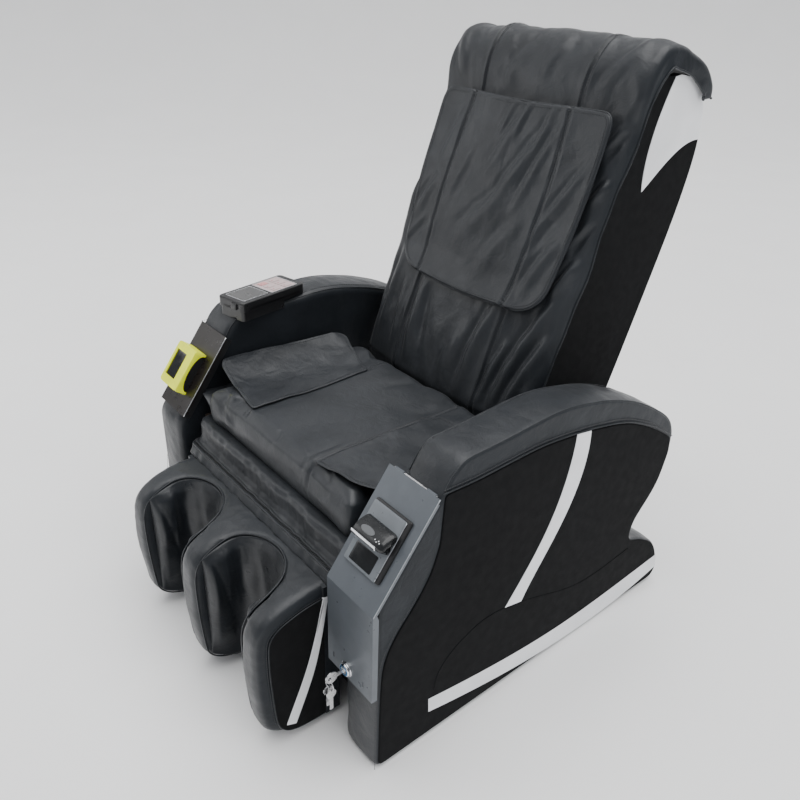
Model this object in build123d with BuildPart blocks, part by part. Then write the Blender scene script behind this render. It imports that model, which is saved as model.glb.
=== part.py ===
from build123d import *
from math import cos, sin, radians
import os

# A coin- and note-operated massage chair. X runs to the sitter's left, -Y is the front, +Z is up.
# The origin is on the floor, at the centre of the chair's box. Sizes are in millimetres.

os.makedirs("parts", exist_ok=True)

# ---- driving dimensions -------------------------------------------------------------------------
overall_width = 760       # over the two arms
arm_width = 92
arm_length = 784          # foot of the front face to the foot of the rear toe
arm_front = -359          # y of the arms' vertical front face
arm_height = 576
glide_height = 5          # the arms stand this far off the floor
side_board = 12           # velvet-clad board on the outside of each arm
inlay = 1                 # white inlays stand this far proud
seat_width = 492
seat_top = 449
seat_depth = 394
seat_front = -321
seat_pad = 76             # thickness of the seat cushion
seat_ply = 18
rail_w = 25               # rectangular tube of the base
rail_h = 40
rail_z = 30               # underside of the base rails
tube_wall = 2
back_width = 470
back_tilt = 20            # lean of the backrest at rest
back_pivot_y = 130
back_pivot_z = 300
recline = 35              # degrees the backrest can lean further
back_board = 14           # side panels of the backrest
post_d = 25
leg_width = 486
leg_pivot_y = -332
leg_pivot_z = 318
leg_swing = 75            # degrees the leg rest can lift
fin_outer = 54            # thickness of the outer fins of the leg rest
fin_middle = 56
pin_d = 12                # hinge pins of the backrest and of the leg rest
pin_clearance = 0.05      # radial running clearance of the pins
rod_d = 16                # push rods of the two actuators
gap = 1                   # general clearance between pieces that move past each other
weld = 0.2                # seam left between welded tubes, which stay separate solids

# ---- shared places ------------------------------------------------------------------------------
arm_out = overall_width / 2 - inlay
arm_in = overall_width / 2 - arm_width
rail_out = arm_in
rail_in = rail_out - rail_w
bracket_in = rail_in - 13
back_half = back_width / 2
leg_half = leg_width / 2
seat_board_z = seat_top - seat_pad - seat_ply
pin_r = pin_d / 2


def save(piece, name):
    """Label a finished piece and write it as a STEP file of the same name."""
    piece.label = name
    export_step(piece, f"parts/{name}.step")


def both(points):
    """The same places on the left and on the right."""
    return [(side * x, y, z) for side in (1, -1) for x, y, z in points]


# ---- arms ---------------------------------------------------------------------------------------
# The outline of an arm in the YZ plane: a straight foot, a rounded rear toe, a notch, a long crowned
# top, and a front that slopes back above a vertical face.
slope_angle = 53.5
slope_low = (arm_front, 361.8)
slope_run = 196.6
slope_high = (slope_low[0] + slope_run * cos(radians(slope_angle)),
              slope_low[1] + slope_run * sin(radians(slope_angle)))
foot_back = arm_front + arm_length
rear_toe = [(foot_back, glide_height), (foot_back + 13, 34), (409, 106), (356, 148), (305, 172)]
rear_notch = [(305, 172), (297, 193), (305, 222)]
rear_bulge = [(305, 222), (358, 288), (379, 361), (376, 404), (352, 443)]
crown = [(352, 443), (297, 482), (226, 521), (163, 545), (106, 561), (10, arm_height), (-125, 569),
         (-204, 566)]
band_line = [(-245, 524), (-180, 522), (-119, 524), (-32, 526), (56, 518), (120, 508), (201, 489),
             (275, 457), (400, 388)]


def arm_outline():
    """Draw the closed outline of an arm in the active line builder."""
    Polyline((-204, 566), (slope_high[0] + 14, 545), slope_high, slope_low, (arm_front, glide_height),
             (foot_back, glide_height))
    Spline(*rear_toe)
    Spline(*rear_notch)
    Spline(*rear_bulge)
    Spline(*crown)


def arm_blank(x_from, x_to):
    """The arm's outline extruded between two x positions."""
    with BuildPart() as blank:
        with BuildSketch(Plane.YZ.offset(x_from)):
            with BuildLine():
                arm_outline()
            make_face()
        extrude(amount=x_to - x_from)
    return blank.part


with BuildPart() as below_band:
    with BuildSketch(Plane.YZ.offset(arm_out - side_board)):
        with BuildLine():
            Spline(*band_line)
            Polyline(band_line[-1], (600, 388), (600, -20), (-500, -20), (-500, 524), band_line[0])
        make_face()
    extrude(amount=side_board)

with BuildPart() as side_panel:
    add(arm_blank(arm_out - side_board, arm_out))
    add(below_band.part, mode=Mode.INTERSECT)

# The right-hand cash bay (x > 0) is a pocket in the front of one arm.
bay_in = arm_in + 4
bay_out = arm_out - side_board - 6
bay_floor = 185
bay_back = -190
bay_top = 470

with BuildPart() as core:
    add(arm_blank(arm_in, arm_out))
    add(side_panel.part, mode=Mode.SUBTRACT)

with BuildPart() as bay:
    with BuildSketch(Plane.YZ.offset(bay_in)):
        with BuildLine():
            Polyline((arm_front - 20, bay_floor), (bay_back - 60, bay_floor), (bay_back, 330),
                     (bay_back, bay_top), (-330, bay_top), (arm_front - 20, slope_low[1]),
                     (arm_front - 20, bay_floor))
        make_face()
    extrude(amount=bay_out - bay_in)

with BuildPart() as left_arm:
    add(core.part)
    add(bay.part, mode=Mode.SUBTRACT)
save(left_arm.part, "left_arm_pad")

with BuildPart() as right_arm:
    add(core.part)
    mirror(about=Plane.YZ, mode=Mode.REPLACE)
save(right_arm.part, "right_arm_pad")

with BuildPart() as side_panels:
    add(side_panel.part)
    mirror(about=Plane.YZ)
save(side_panels.part, "arm_side_panels")

with BuildPart() as stripes:
    with BuildSketch(Plane.YZ.offset(arm_out)):
        with BuildLine():
            Spline((56, 516), (47, 437), (26, 367), (-10, 296), (-44, 246), (-75, 204))
            Line((-75, 204), (-32, 195))
            Spline((-32, 195), (-13, 229), (26, 289), (64, 355), (88, 420), (94, 510))
            Line((94, 510), (56, 516))
        make_face()
        with BuildLine():
            Spline((-248, 96), (-88, 69), (95, 53), (257, 57), (424, 69))
            Line((424, 69), (433, 32))
            Spline((433, 32), (288, 10), (104, 8), (-69, 27), (-246, 63))
            Line((-246, 63), (-248, 96))
        make_face()
    extrude(amount=inlay)
    mirror(about=Plane.YZ)
save(stripes.part, "arm_stripes")

# ---- base frame ---------------------------------------------------------------------------------
rail_front = -300
rail_back = 400
cross_y = (-290, 0, 330)
post_y = (-290, 130)
post_top = seat_board_z - rail_w
tray_thick = 2
tray_z = rail_z + rail_h
unit_z = tray_z + weld + tray_thick


def tube(x, y, z, centre):
    """A straight rectangular tube of given outside sizes, open along its longest side."""
    sizes = [x, y, z]
    longest = sizes.index(max(sizes))
    bore = [s if i == longest else s - 2 * tube_wall for i, s in enumerate(sizes)]
    with BuildPart() as piece:
        with Locations(centre):
            Box(*sizes)
            Box(*bore, mode=Mode.SUBTRACT)
    return piece.part


rail_x = (rail_in + rail_out) / 2
with BuildPart() as base_frame:
    for side in (1, -1):
        add(tube(rail_w, rail_back - rail_front, rail_h,
                 (side * rail_x, (rail_front + rail_back) / 2, rail_z + rail_h / 2)))
    for y in cross_y:
        add(tube(2 * (rail_in - weld), rail_w, rail_h, (0, y, rail_z + rail_h / 2)))
    with Locations((0, (cross_y[0] + cross_y[-1]) / 2, unit_z - tray_thick / 2)):
        Box(2 * rail_in, cross_y[-1] - cross_y[0] + rail_w, tray_thick)
save(base_frame.part, "base_frame")

# Pivot brackets, welded inside the posts, carry the pins of the backrest and the leg rest.
bracket_thick = rail_in - weld - bracket_in
with BuildPart() as brackets:
    with BuildSketch(Plane.YZ.offset(bracket_in)):
        with Locations((back_pivot_y, back_pivot_z)):
            RectangleRounded(44, 50, 8)
            Circle(pin_r + pin_clearance, mode=Mode.SUBTRACT)
    extrude(amount=bracket_thick)
    with BuildSketch(Plane.YZ.offset(bracket_in)):
        with BuildLine():
            Polyline((-278, 300), (-278, 336), (leg_pivot_y, leg_pivot_z + 14),
                     (leg_pivot_y, leg_pivot_z - 14), (-278, 300))
        make_face()
        with Locations((leg_pivot_y, leg_pivot_z)):
            Circle(14)
            Circle(pin_r + pin_clearance, mode=Mode.SUBTRACT)
    extrude(amount=bracket_thick)
    mirror(about=Plane.YZ)

with BuildPart() as seat_frame:
    for side in (1, -1):
        for y in post_y:
            add(tube(rail_w, 30, post_top - weld - tray_z,
                     (side * rail_x, y, (tray_z + post_top - weld) / 2)))
        add(tube(rail_w, post_y[1] - post_y[0] + 30, rail_w,
                 (side * rail_x, sum(post_y) / 2, post_top + rail_w / 2)))
    add(brackets.part)
save(seat_frame.part, "seat_frame")

with BuildPart() as seat_board:
    board_back = seat_front + seat_depth + 10
    with Locations((0, (seat_front + 16 + board_back) / 2, seat_board_z + seat_ply / 2)):
        Box(2 * rail_x, board_back - seat_front - 16, seat_ply)
save(seat_board.part, "seat_board")

with BuildPart() as seat_cushion:
    with Locations((0, seat_front + seat_depth / 2, seat_top - seat_pad / 2)):
        Box(seat_width, seat_depth, seat_pad)
    fillet(seat_cushion.edges().group_by(Axis.Z)[-1], 14)
save(seat_cushion.part, "seat_cushion")

flap_in = 113
flap_thick = 5
flap_length = 270
flap_front = -285
flap_place = ((flap_in + arm_in - gap) / 2, flap_front + flap_length / 2, seat_top + 0.3 + flap_thick / 2)
with BuildPart() as hip_flaps:
    with Locations(*both([flap_place])):
        Box(arm_in - gap - flap_in, flap_length, flap_thick)
save(hip_flaps.part, "hip_flaps")

apron_half = leg_half - 29
apron_top = (seat_front + 12, seat_board_z + seat_ply - 1)
with BuildPart() as apron:
    with BuildSketch(Plane.YZ.offset(-apron_half)):
        with BuildLine():
            Polyline(apron_top, (apron_top[0] + 3.6, apron_top[1]), (apron_top[0] + 3.6, 340), (-320, 321),
                     (-324, 321), (apron_top[0], 338), apron_top)
        make_face()
    extrude(amount=2 * apron_half)
save(apron.part, "front_apron")

# Rear cross bar, lying in the notches of the two arms, with plastic end caps.
bar_d = 28
bar_half = 345
bar_place = (319.5, 214)
with BuildPart() as rear_bar:
    with BuildSketch(Plane.YZ.offset(-bar_half)):
        with Locations(bar_place):
            Circle(bar_d / 2)
            Circle(bar_d / 2 - tube_wall, mode=Mode.SUBTRACT)
    extrude(amount=2 * bar_half)
    for side in (1, -1):
        with BuildSketch(Plane.YZ.offset(side * bar_half)):
            with Locations(bar_place):
                Circle(bar_d / 2)
        extrude(amount=side * 3)
save(rear_bar.part, "rear_bar")

# Rear panel of the base, with the power inlet let into it.
panel_thick = 3
panel_top = 150
inlet_w, inlet_h, inlet_depth = 58, 48, 26
inlet_place = (-170, 95)
with BuildPart() as rear_panel:
    with BuildSketch(Plane.XZ.offset(-rail_back)):
        with Locations((0, (rail_z + panel_top) / 2)):
            Rectangle(2 * rail_in, panel_top - rail_z)
        with Locations(inlet_place):
            Rectangle(inlet_w - 10, inlet_h - 10, mode=Mode.SUBTRACT)
    extrude(amount=panel_thick)
save(rear_panel.part, "rear_panel")

with BuildPart() as inlet:
    with BuildSketch(Plane.XZ.offset(-rail_back)):
        with Locations(inlet_place):
            RectangleRounded(inlet_w, inlet_h, 4)
    extrude(amount=-3)
    with BuildSketch(Plane.XZ.offset(-rail_back)):
        with Locations(inlet_place):
            Rectangle(inlet_w - 10 - 0.4, inlet_h - 10 - 0.4)
    extrude(amount=inlet_depth)
    with BuildSketch(Plane.XZ.offset(-rail_back - 3)):
        with Locations(inlet_place):
            RectangleRounded(28, 20, 4)
    extrude(amount=20, mode=Mode.SUBTRACT)
    with BuildSketch(Plane.XZ.offset(-rail_back + 17)):
        with Locations(inlet_place):
            with Locations((-7, -2), (0, 3), (7, -2)):
                Rectangle(2, 5)
    extrude(amount=-16)
save(inlet.part, "power_inlet")

with BuildPart() as glides:
    glide_x = (arm_in + arm_out) / 2
    with BuildSketch(Plane.XY):
        for side in (1, -1):
            with Locations((side * glide_x, arm_front + 45), (side * glide_x, foot_back - 60)):
                Circle(20)
    extrude(amount=glide_height)
save(glides.part, "glide_feet")

# Units on the tray under the seat.
with BuildPart() as control_box:
    with Locations((150, -110, unit_z)):
        Box(170, 200, 62, align=(Align.CENTER, Align.CENTER, Align.MIN))
    fillet(control_box.edges().filter_by(Axis.Z), 6)
save(control_box.part, "control_box")

with BuildPart() as air_pump:
    with Locations((-150, -120, unit_z)):
        Box(150, 190, 58, align=(Align.CENTER, Align.CENTER, Align.MIN))
    fillet(air_pump.edges().filter_by(Axis.Y), 12)
    with Locations((-150, -120, unit_z + 58)):
        Cylinder(28, 22, align=(Align.CENTER, Align.CENTER, Align.MIN))
save(air_pump.part, "air_pump")

# ---- actuators ----------------------------------------------------------------------------------
# Each rod is level and pushes or pulls a short lever. Half of the swing lies each side of the
# lever's lowest place, so the rod's level line is never far from the lever's pin.
lever_pin_d = 10
eye_slack_back = 4
eye_slack_leg = 7
back_lever = 90
leg_lever = 60
housing_d = 46
fork_in = 10              # from a rod's centre line to the inner face of the lever's fork
fork_plate = 8


def lever_place(pivot_y, pivot_z, length, swing):
    """Rest place of a lever's pin, half the swing behind its lowest place."""
    half = radians(swing / 2)
    return pivot_y + length * sin(half), pivot_z - length * cos(half)


def rod_level(pivot_z, length, swing):
    """Height midway between the pin's lowest place and its place at the ends of the swing."""
    return pivot_z - length * (1 + cos(radians(swing / 2))) / 2


def stroke(length, swing):
    """How far the rod slides over the whole swing."""
    return 2 * length * sin(radians(swing / 2))


def rod_piece(x, tip_y, z, start_y, slack):
    """A push rod along Y with a ring-shaped eye, wider than the lever's pin, at its tip."""
    eye = lever_pin_d / 2 + slack
    with BuildPart() as piece:
        with BuildSketch(Plane.XZ.offset(-start_y)):
            with Locations((x, z)):
                Circle(rod_d / 2)
        extrude(amount=start_y - tip_y)
        with BuildSketch(Plane.YZ.offset(x - 4)):
            with Locations((tip_y, z)):
                Circle(eye + 5)
        extrude(amount=8)
        with BuildSketch(Plane.YZ.offset(x - rod_d)):
            with Locations((tip_y, z)):
                Circle(eye)
        extrude(amount=2 * rod_d, mode=Mode.SUBTRACT)
    return piece.part


def actuator_housing(x, z, mouth_y, end_y):
    """A tube along Y whose bore lets the rod slide, with a gear motor and a foot at its closed end."""
    way = 1 if mouth_y > end_y else -1
    with BuildPart() as piece:
        with BuildSketch(Plane.XZ.offset(-end_y)):
            with Locations((x, z)):
                Circle(housing_d / 2)
        extrude(amount=end_y - mouth_y)
        with Locations((x, end_y + 35 * way, z - housing_d / 2 - 12)):
            Box(60, 70, 44)
        with Locations((x, end_y + 35 * way, (unit_z + z - housing_d) / 2)):
            Box(36, 40, z - housing_d - unit_z)
        with BuildSketch(Plane.XZ.offset(-(end_y + 12 * way))):
            with Locations((x, z)):
                Circle(rod_d / 2 + pin_clearance)
        extrude(amount=end_y - mouth_y, mode=Mode.SUBTRACT)
    return piece.part


back_lever_y, back_lever_z = lever_place(back_pivot_y, back_pivot_z, back_lever, recline)
leg_lever_y, leg_lever_z = lever_place(leg_pivot_y, leg_pivot_z, leg_lever, leg_swing)
back_rod_z = rod_level(back_pivot_z, back_lever, recline)
leg_rod_z = rod_level(leg_pivot_z, leg_lever, leg_swing)
back_rod_x = -30
leg_rod_x = 40
back_stroke = stroke(back_lever, recline)
back_mouth_y = back_lever_y - back_stroke - 30
leg_mouth_y = leg_lever_y + 40
save(actuator_housing(back_rod_x, back_rod_z, back_mouth_y, back_mouth_y - 190), "recline_actuator")
save(rod_piece(back_rod_x, back_lever_y, back_rod_z, back_mouth_y - 100, eye_slack_back), "recline_rod")
save(actuator_housing(leg_rod_x, leg_rod_z, leg_mouth_y, leg_mouth_y + 230), "leg_actuator")
save(rod_piece(leg_rod_x, leg_lever_y, leg_rod_z, leg_mouth_y + 110, eye_slack_leg), "leg_rod")

# ---- cash cabinet -------------------------------------------------------------------------------
# A bent steel cover stands in front of the bay. It hinges at its top edge and locks at the bottom.
cover_in = arm_in - 26      # the cover also shields the gap beside the seat
cover_out = overall_width / 2
cover_steel = 1.5
cover_front = -372
cover_bottom = 177
bend_z = 356
cover_slope_length = 201.6
flange = 11               # side returns beside the vertical face
flange_slope = 5          # and beside the sloped face, which lies closer to the arm
slope_dir = (cos(radians(slope_angle)), sin(radians(slope_angle)))
slope_in = (slope_dir[1], -slope_dir[0])


def slope_point(along, outward=0.0):
    """(y, z) of a point on the cover's sloped face, measured from its bend."""
    return (cover_front + along * slope_dir[0] - outward * slope_in[0],
            bend_z + along * slope_dir[1] - outward * slope_in[1])


def slope_plane(along, outward=0.0, x=0.0):
    """A sketch plane on the sloped face: local x is X, local y runs up the slope, normal faces out."""
    y, z = slope_point(along, outward)
    return Plane(origin=(x, y, z), x_dir=(1, 0, 0), z_dir=(0, -slope_in[0], -slope_in[1]))


hinge_drop = 4            # depth of the hinge pin behind the cover's outer face
hinge_pin_r = 1.5
knuckle_r = 2.9
hinge_y, hinge_z = slope_point(cover_slope_length, -hinge_drop)
knuckle_x = (cover_in + 12, cover_out - 32)
bend_shift = cover_steel * 0.5
cover_profile = [(cover_front, cover_bottom), (cover_front, bend_z), slope_point(cover_slope_length),
                 slope_point(cover_slope_length, -cover_steel),
                 (cover_front + cover_steel, bend_z - bend_shift), (cover_front + cover_steel, cover_bottom)]
flange_profile = [(cover_front, cover_bottom), (cover_front, bend_z), slope_point(cover_slope_length - 8),
                  slope_point(cover_slope_length - 8, -flange_slope),
                  slope_point(6, -flange_slope), (cover_front + flange, bend_z - 8),
                  (cover_front + flange, cover_bottom)]
lock_x, lock_z = arm_in + 26, 197
lock_d = 24
plug_d = 13
slot_x = (arm_in - 10, arm_in + 69)
window_w, window_h = 74, 96        # opening for the note validator in the sloped face
window_x = arm_in + 30
window_s = 97

with BuildPart() as cover:
    with BuildSketch(Plane.YZ.offset(cover_in)):
        with BuildLine():
            Polyline(*cover_profile, cover_profile[0])
        make_face()
    extrude(amount=cover_out - cover_in)
    for x in (cover_in, cover_out - cover_steel):
        with BuildSketch(Plane.YZ.offset(x)):
            with BuildLine():
                Polyline(*flange_profile, flange_profile[0])
            make_face()
        extrude(amount=cover_steel)
    with BuildSketch(slope_plane(window_s, 1, window_x)):
        Rectangle(window_w, window_h)
    extrude(amount=-cover_steel - 2, mode=Mode.SUBTRACT)
    with BuildSketch(Plane.XZ.offset(-cover_front)):
        with Locations((lock_x, lock_z)):
            Circle(lock_d / 2 - 2)
        with Locations(*[(x, lock_z + 2) for x in slot_x]):
            Rectangle(2.5, 11)
    extrude(amount=-3 * cover_steel, both=True, mode=Mode.SUBTRACT)
    for x in knuckle_x:
        with BuildSketch(Plane.YZ.offset(x)):
            with Locations((hinge_y, hinge_z)):
                Circle(knuckle_r)
        extrude(amount=20)
    with BuildSketch(Plane.YZ.offset(cover_in - 1)):
        with Locations((hinge_y, hinge_z)):
            Circle(hinge_pin_r + pin_clearance)
    extrude(amount=cover_out - cover_in + 2, mode=Mode.SUBTRACT)
save(cover.part, "cabinet_cover")

leaf = [slope_point(cover_slope_length + along, outward) for along, outward in
        ((1.5, -hinge_drop), (1.5, -7), (-24, -7), (-24, -6.2), (-1.5, -6.2), (-1.5, -hinge_drop))]
with BuildPart() as cover_hinge:
    with BuildSketch(Plane.YZ.offset(cover_in + 10)):
        with Locations((hinge_y, hinge_z)):
            Circle(hinge_pin_r)
    extrude(amount=cover_out - cover_in - 20)
    with BuildSketch(Plane.YZ.offset(window_x - 20)):
        with Locations((hinge_y, hinge_z)):
            Circle(2.3)
        with BuildLine():
            Polyline(*leaf, leaf[0])
        make_face()
    extrude(amount=40)
save(cover_hinge.part, "cover_hinge")

# validator: bezel in the sloped face, mechanism behind it
validator_depth = 62
with BuildPart() as bezel:
    with BuildSketch(slope_plane(window_s, 0, window_x)):
        RectangleRounded(window_w + 10, window_h + 10, 3)
    extrude(amount=3)
    with BuildSketch(slope_plane(window_s, -cover_steel - 0.5, window_x)):
        Rectangle(window_w - 0.6, window_h - 0.6)
    extrude(amount=cover_steel + 0.5)
    with BuildSketch(slope_plane(window_s + 12, 3, window_x)):
        RectangleRounded(window_w - 6, 34, 8)
    extrude(amount=22)
    fillet(bezel.faces().sort_by(Axis((0, 0, 0), (0, -slope_in[0], -slope_in[1])))[-1].edges(), 4)
    with BuildSketch(slope_plane(window_s - 12, 3, window_x)):
        Rectangle(window_w - 14, 3)
    extrude(amount=-10, mode=Mode.SUBTRACT)
save(bezel.part, "validator_bezel")

with BuildPart() as validator:
    with BuildSketch(slope_plane(window_s, -cover_steel - 0.5, window_x)):
        Rectangle(2 * (window_x - bay_in - 1.5), window_h - 4)
    extrude(amount=-validator_depth)
save(validator.part, "note_validator")

with BuildPart() as lock_barrel:
    with BuildSketch(Plane.XZ.offset(-cover_front)):
        with Locations((lock_x, lock_z)):
            Circle(lock_d / 2)
            Circle(plug_d / 2 + pin_clearance, mode=Mode.SUBTRACT)
    extrude(amount=6)
    fillet(lock_barrel.edges().filter_by(GeomType.CIRCLE).group_by(Axis.Y)[0].sort_by(SortBy.RADIUS)[-1], 2)
    with BuildSketch(Plane.XZ.offset(-cover_front)):
        with Locations((lock_x, lock_z)):
            Circle(lock_d / 2 - 2.1)
            Circle(plug_d / 2 + pin_clearance, mode=Mode.SUBTRACT)
    extrude(amount=-9)
save(lock_barrel.part, "lock_barrel")

key_hole_y = cover_front - 34
with BuildPart() as plug:
    with BuildSketch(Plane.XZ.offset(-cover_front + 6.5)):
        with Locations((lock_x, lock_z)):
            Circle(plug_d / 2)
    extrude(amount=-16.5)
    with BuildSketch(Plane.XZ.offset(-cover_front - 10)):
        with Locations((lock_x, lock_z - 6)):
            SlotOverall(26, 11, rotation=90)
    extrude(amount=-2)
    with BuildSketch(Plane.YZ.offset(lock_x - 1)):
        with Locations((cover_front - 15, lock_z)):
            Rectangle(17, 7)
        with Locations((key_hole_y + 4, lock_z)):
            Circle(11)
        with Locations((key_hole_y, lock_z)):
            Circle(3, mode=Mode.SUBTRACT)
    extrude(amount=2)
save(plug.part, "lock_plug_and_key")

ring_r = 11
wire_r = 0.8
ring_z = lock_z - ring_r - 1.5
with BuildPart() as key_ring:
    with BuildSketch(Plane.XY.offset(ring_z)):
        with Locations((lock_x + ring_r, key_hole_y)):
            Circle(wire_r)
    revolve(axis=Axis((lock_x, key_hole_y, ring_z), (0, 1, 0)), revolution_arc=360)
    for x in (lock_x - 5, lock_x + 4):
        drop = (ring_r ** 2 - (x - lock_x) ** 2) ** 0.5
        with BuildSketch(Plane(origin=(x, key_hole_y, ring_z - drop), x_dir=(0, 1, 0), z_dir=(1, 0, 0))):
            with Locations((0, -7)):
                Circle(9)
            with Locations((0, -28)):
                Rectangle(6, 28)
            Circle(1.4, mode=Mode.SUBTRACT)
        extrude(amount=1.6)
save(key_ring.part, "key_ring")

# The cassette that catches the notes stands on the floor of the bay.
cassette_h = 100
with BuildPart() as cassette:
    with Locations(((bay_in + bay_out) / 2, -300, bay_floor)):
        Box(bay_out - bay_in - 6, 84, cassette_h, align=(Align.CENTER, Align.CENTER, Align.MIN))
    fillet(cassette.edges().filter_by(Axis.Z), 4)
    with Locations(((bay_in + bay_out) / 2, -300, bay_floor + cassette_h)):
        Box(bay_out - bay_in - 20, 3, 12, mode=Mode.SUBTRACT)
save(cassette.part, "note_cassette")

# ---- card reader on the other arm ---------------------------------------------------------------
reader_plate_in = arm_in - 12
reader_low, reader_high = 33, 216
reader_x = -(arm_in + 54)
reader_s = 116
reader_w, reader_h = 72, 92
reader_depth = 26
with BuildPart() as reader_plate:
    with BuildSketch(slope_plane((reader_low + reader_high) / 2, 0, -(reader_plate_in + cover_out) / 2)):
        Rectangle(cover_out - reader_plate_in, reader_high - reader_low)
    extrude(amount=-2)
    for x in (-cover_out + 1, -reader_plate_in - 1):
        with BuildSketch(slope_plane((reader_low + reader_high) / 2, -2, x)):
            Rectangle(2, reader_high - reader_low - 12)
        extrude(amount=-4.5)
save(reader_plate.part, "reader_plate")

with BuildPart() as reader_body:
    with BuildSketch(slope_plane(reader_s, 0.0, reader_x)):
        RectangleRounded(reader_w - 5, reader_h - 10, 4)
    extrude(amount=reader_depth - 4.4)
save(reader_body.part, "card_reader")

with BuildPart() as reader_bezel:
    with BuildSketch(slope_plane(reader_s, reader_depth - 4, reader_x)):
        RectangleRounded(reader_w, reader_h, 8)
        with Locations((-8, 0)):
            Rectangle(40, 58, mode=Mode.SUBTRACT)
    extrude(amount=4)
    for end in (1, -1):
        with BuildSketch(slope_plane(reader_s + end * (reader_h / 2 - 2.3), 0.0, reader_x)):
            Rectangle(reader_w - 12, 4.4)
        extrude(amount=reader_depth - 4)
save(reader_bezel.part, "reader_bezel")

# ---- remote control on top of the other arm ------------------------------------------------------
remote_place = (-(arm_in + 30), -132)
remote_turn = 11.4
remote_w, remote_l, remote_h = 78, 172, 20
remote_z = 576.5
key_travel = 0.8


def remote_plane(height):
    """A level sketch plane turned with the remote control."""
    t = radians(remote_turn)
    return Plane(origin=(*remote_place, remote_z + height), x_dir=(cos(t), sin(t), 0), z_dir=(0, 0, 1))


with BuildPart() as cradle:
    with BuildSketch(remote_plane(0)):
        RectangleRounded(remote_w - 6, remote_l - 6, 8)
    extrude(amount=-20)
    add(right_arm.part, mode=Mode.SUBTRACT)
save(cradle.part, "remote_cradle")

screen_y, screen_w, screen_l = -41, 54, 62
pad_y, pad_w, pad_l = 34, 62, 68
key_columns, key_rows = 3, 2
key_w, key_l = 14, 20
key_pitch_x, key_pitch_y = 19, 30
with BuildPart() as remote:
    with BuildSketch(remote_plane(0)):
        RectangleRounded(remote_w, remote_l, 10)
    extrude(amount=remote_h)
    fillet(remote.edges().group_by(Axis.Z)[-1], 3)
    with BuildSketch(remote_plane(remote_h)):
        with Locations((0, screen_y)):
            Rectangle(screen_w + 0.4, screen_l + 0.4)
        with Locations((0, pad_y)):
            Rectangle(pad_w + 0.4, pad_l + 0.4)
    extrude(amount=-3, mode=Mode.SUBTRACT)
save(remote.part, "remote_case")

with BuildPart() as screen:
    with BuildSketch(remote_plane(remote_h - 3)):
        with Locations((0, screen_y)):
            Rectangle(screen_w, screen_l)
    extrude(amount=3.2)
save(screen.part, "remote_screen")

with BuildPart() as keypad:
    with BuildSketch(remote_plane(remote_h - 3 + key_travel + 0.4)):
        with Locations((0, pad_y)):
            Rectangle(pad_w, pad_l)
            with GridLocations(key_pitch_x, key_pitch_y, key_columns, key_rows):
                Rectangle(key_w + 0.6, key_l + 0.6, mode=Mode.SUBTRACT)
    extrude(amount=3.2 - key_travel - 0.4)
save(keypad.part, "keypad_overlay")

key_number = 0
for row in range(key_rows):
    for column in range(key_columns):
        key_number += 1
        key_x = (column - (key_columns - 1) / 2) * key_pitch_x
        key_y = pad_y + (row - (key_rows - 1) / 2) * key_pitch_y
        with BuildPart() as button:
            with BuildSketch(remote_plane(remote_h - 3 + key_travel + 0.2)):
                with Locations((key_x, key_y)):
                    RectangleRounded(key_w, key_l, 3)
            extrude(amount=3.8 - key_travel)
        save(button.part, f"key_{key_number}")

# ---- backrest -----------------------------------------------------------------------------------
# Drawn in a leaning frame at its pivot: local x is X, v runs up the back, w faces the sitter.
back_sin, back_cos = sin(radians(back_tilt)), cos(radians(back_tilt))


def back_plane(v=0.0, w=0.0):
    """A plane across the back: local x is X, local y runs up the back, the normal faces the sitter."""
    y = back_pivot_y + v * back_sin - w * back_cos
    z = back_pivot_z + v * back_cos + w * back_sin
    return Plane(origin=(0, y, z), x_dir=(1, 0, 0), z_dir=(0, -back_cos, back_sin))


def side_plane(x):
    """A plane along the back: local x is v, local y is w."""
    origin = (x, back_pivot_y, back_pivot_z)
    return Plane(origin=origin, x_dir=(0, back_sin, back_cos), z_dir=(1, 0, 0))


def slab(points, x_from, x_to, smooth=()):
    """Extrude a closed (v, w) outline between two x places; smooth is a spline stretch to add."""
    with BuildPart() as piece:
        with BuildSketch(side_plane(x_from)):
            with BuildLine():
                if smooth:
                    Spline(*smooth)
                    Polyline(smooth[-1], *points, smooth[0])
                else:
                    Polyline(*points, points[0])
            make_face()
        extrude(amount=x_to - x_from)
    return piece.part


rear_edge = [(140, -140), (254, -143), (420, -144), (554, -143), (640, -137), (713, -122), (776, -85),
             (801, -48)]
panel_front = 69
panel_rest = [(790, 8), (768, 55), (740, panel_front), (128, panel_front), (100, 40), (100, -100)]
with BuildPart() as back_panels:
    add(slab(panel_rest, back_half - back_board, back_half, rear_edge))
    mirror(about=Plane.YZ)
save(back_panels.part, "back_side_panels")

with BuildPart() as wedges:
    with BuildSketch(side_plane(back_half)):
        with BuildLine():
            Spline((588, -4), (640, -38), (706, -104), (713, -121))
            Spline((713, -121), (776, -84), (800, -48))
            Polyline((800, -48), (789, 7), (781, 22))
            Spline((781, 22), (722, 26), (647, 19), (588, -4))
        make_face()
    extrude(amount=inlay)
    mirror(about=Plane.YZ)
save(wedges.part, "back_wedges")

shell_thick = 4
inner_edge = [(v - (3 if v > 700 else 0), w + shell_thick) for v, w in reversed(rear_edge)]
with BuildPart() as back_shell:
    with BuildSketch(side_plane(-back_half + back_board)):
        with BuildLine():
            Spline(*rear_edge)
            Line(rear_edge[-1], inner_edge[0])
            Spline(*inner_edge)
            Line(inner_edge[-1], rear_edge[0])
        make_face()
    extrude(amount=back_width - 2 * back_board)
save(back_shell.part, "back_rear_shell")

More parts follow.
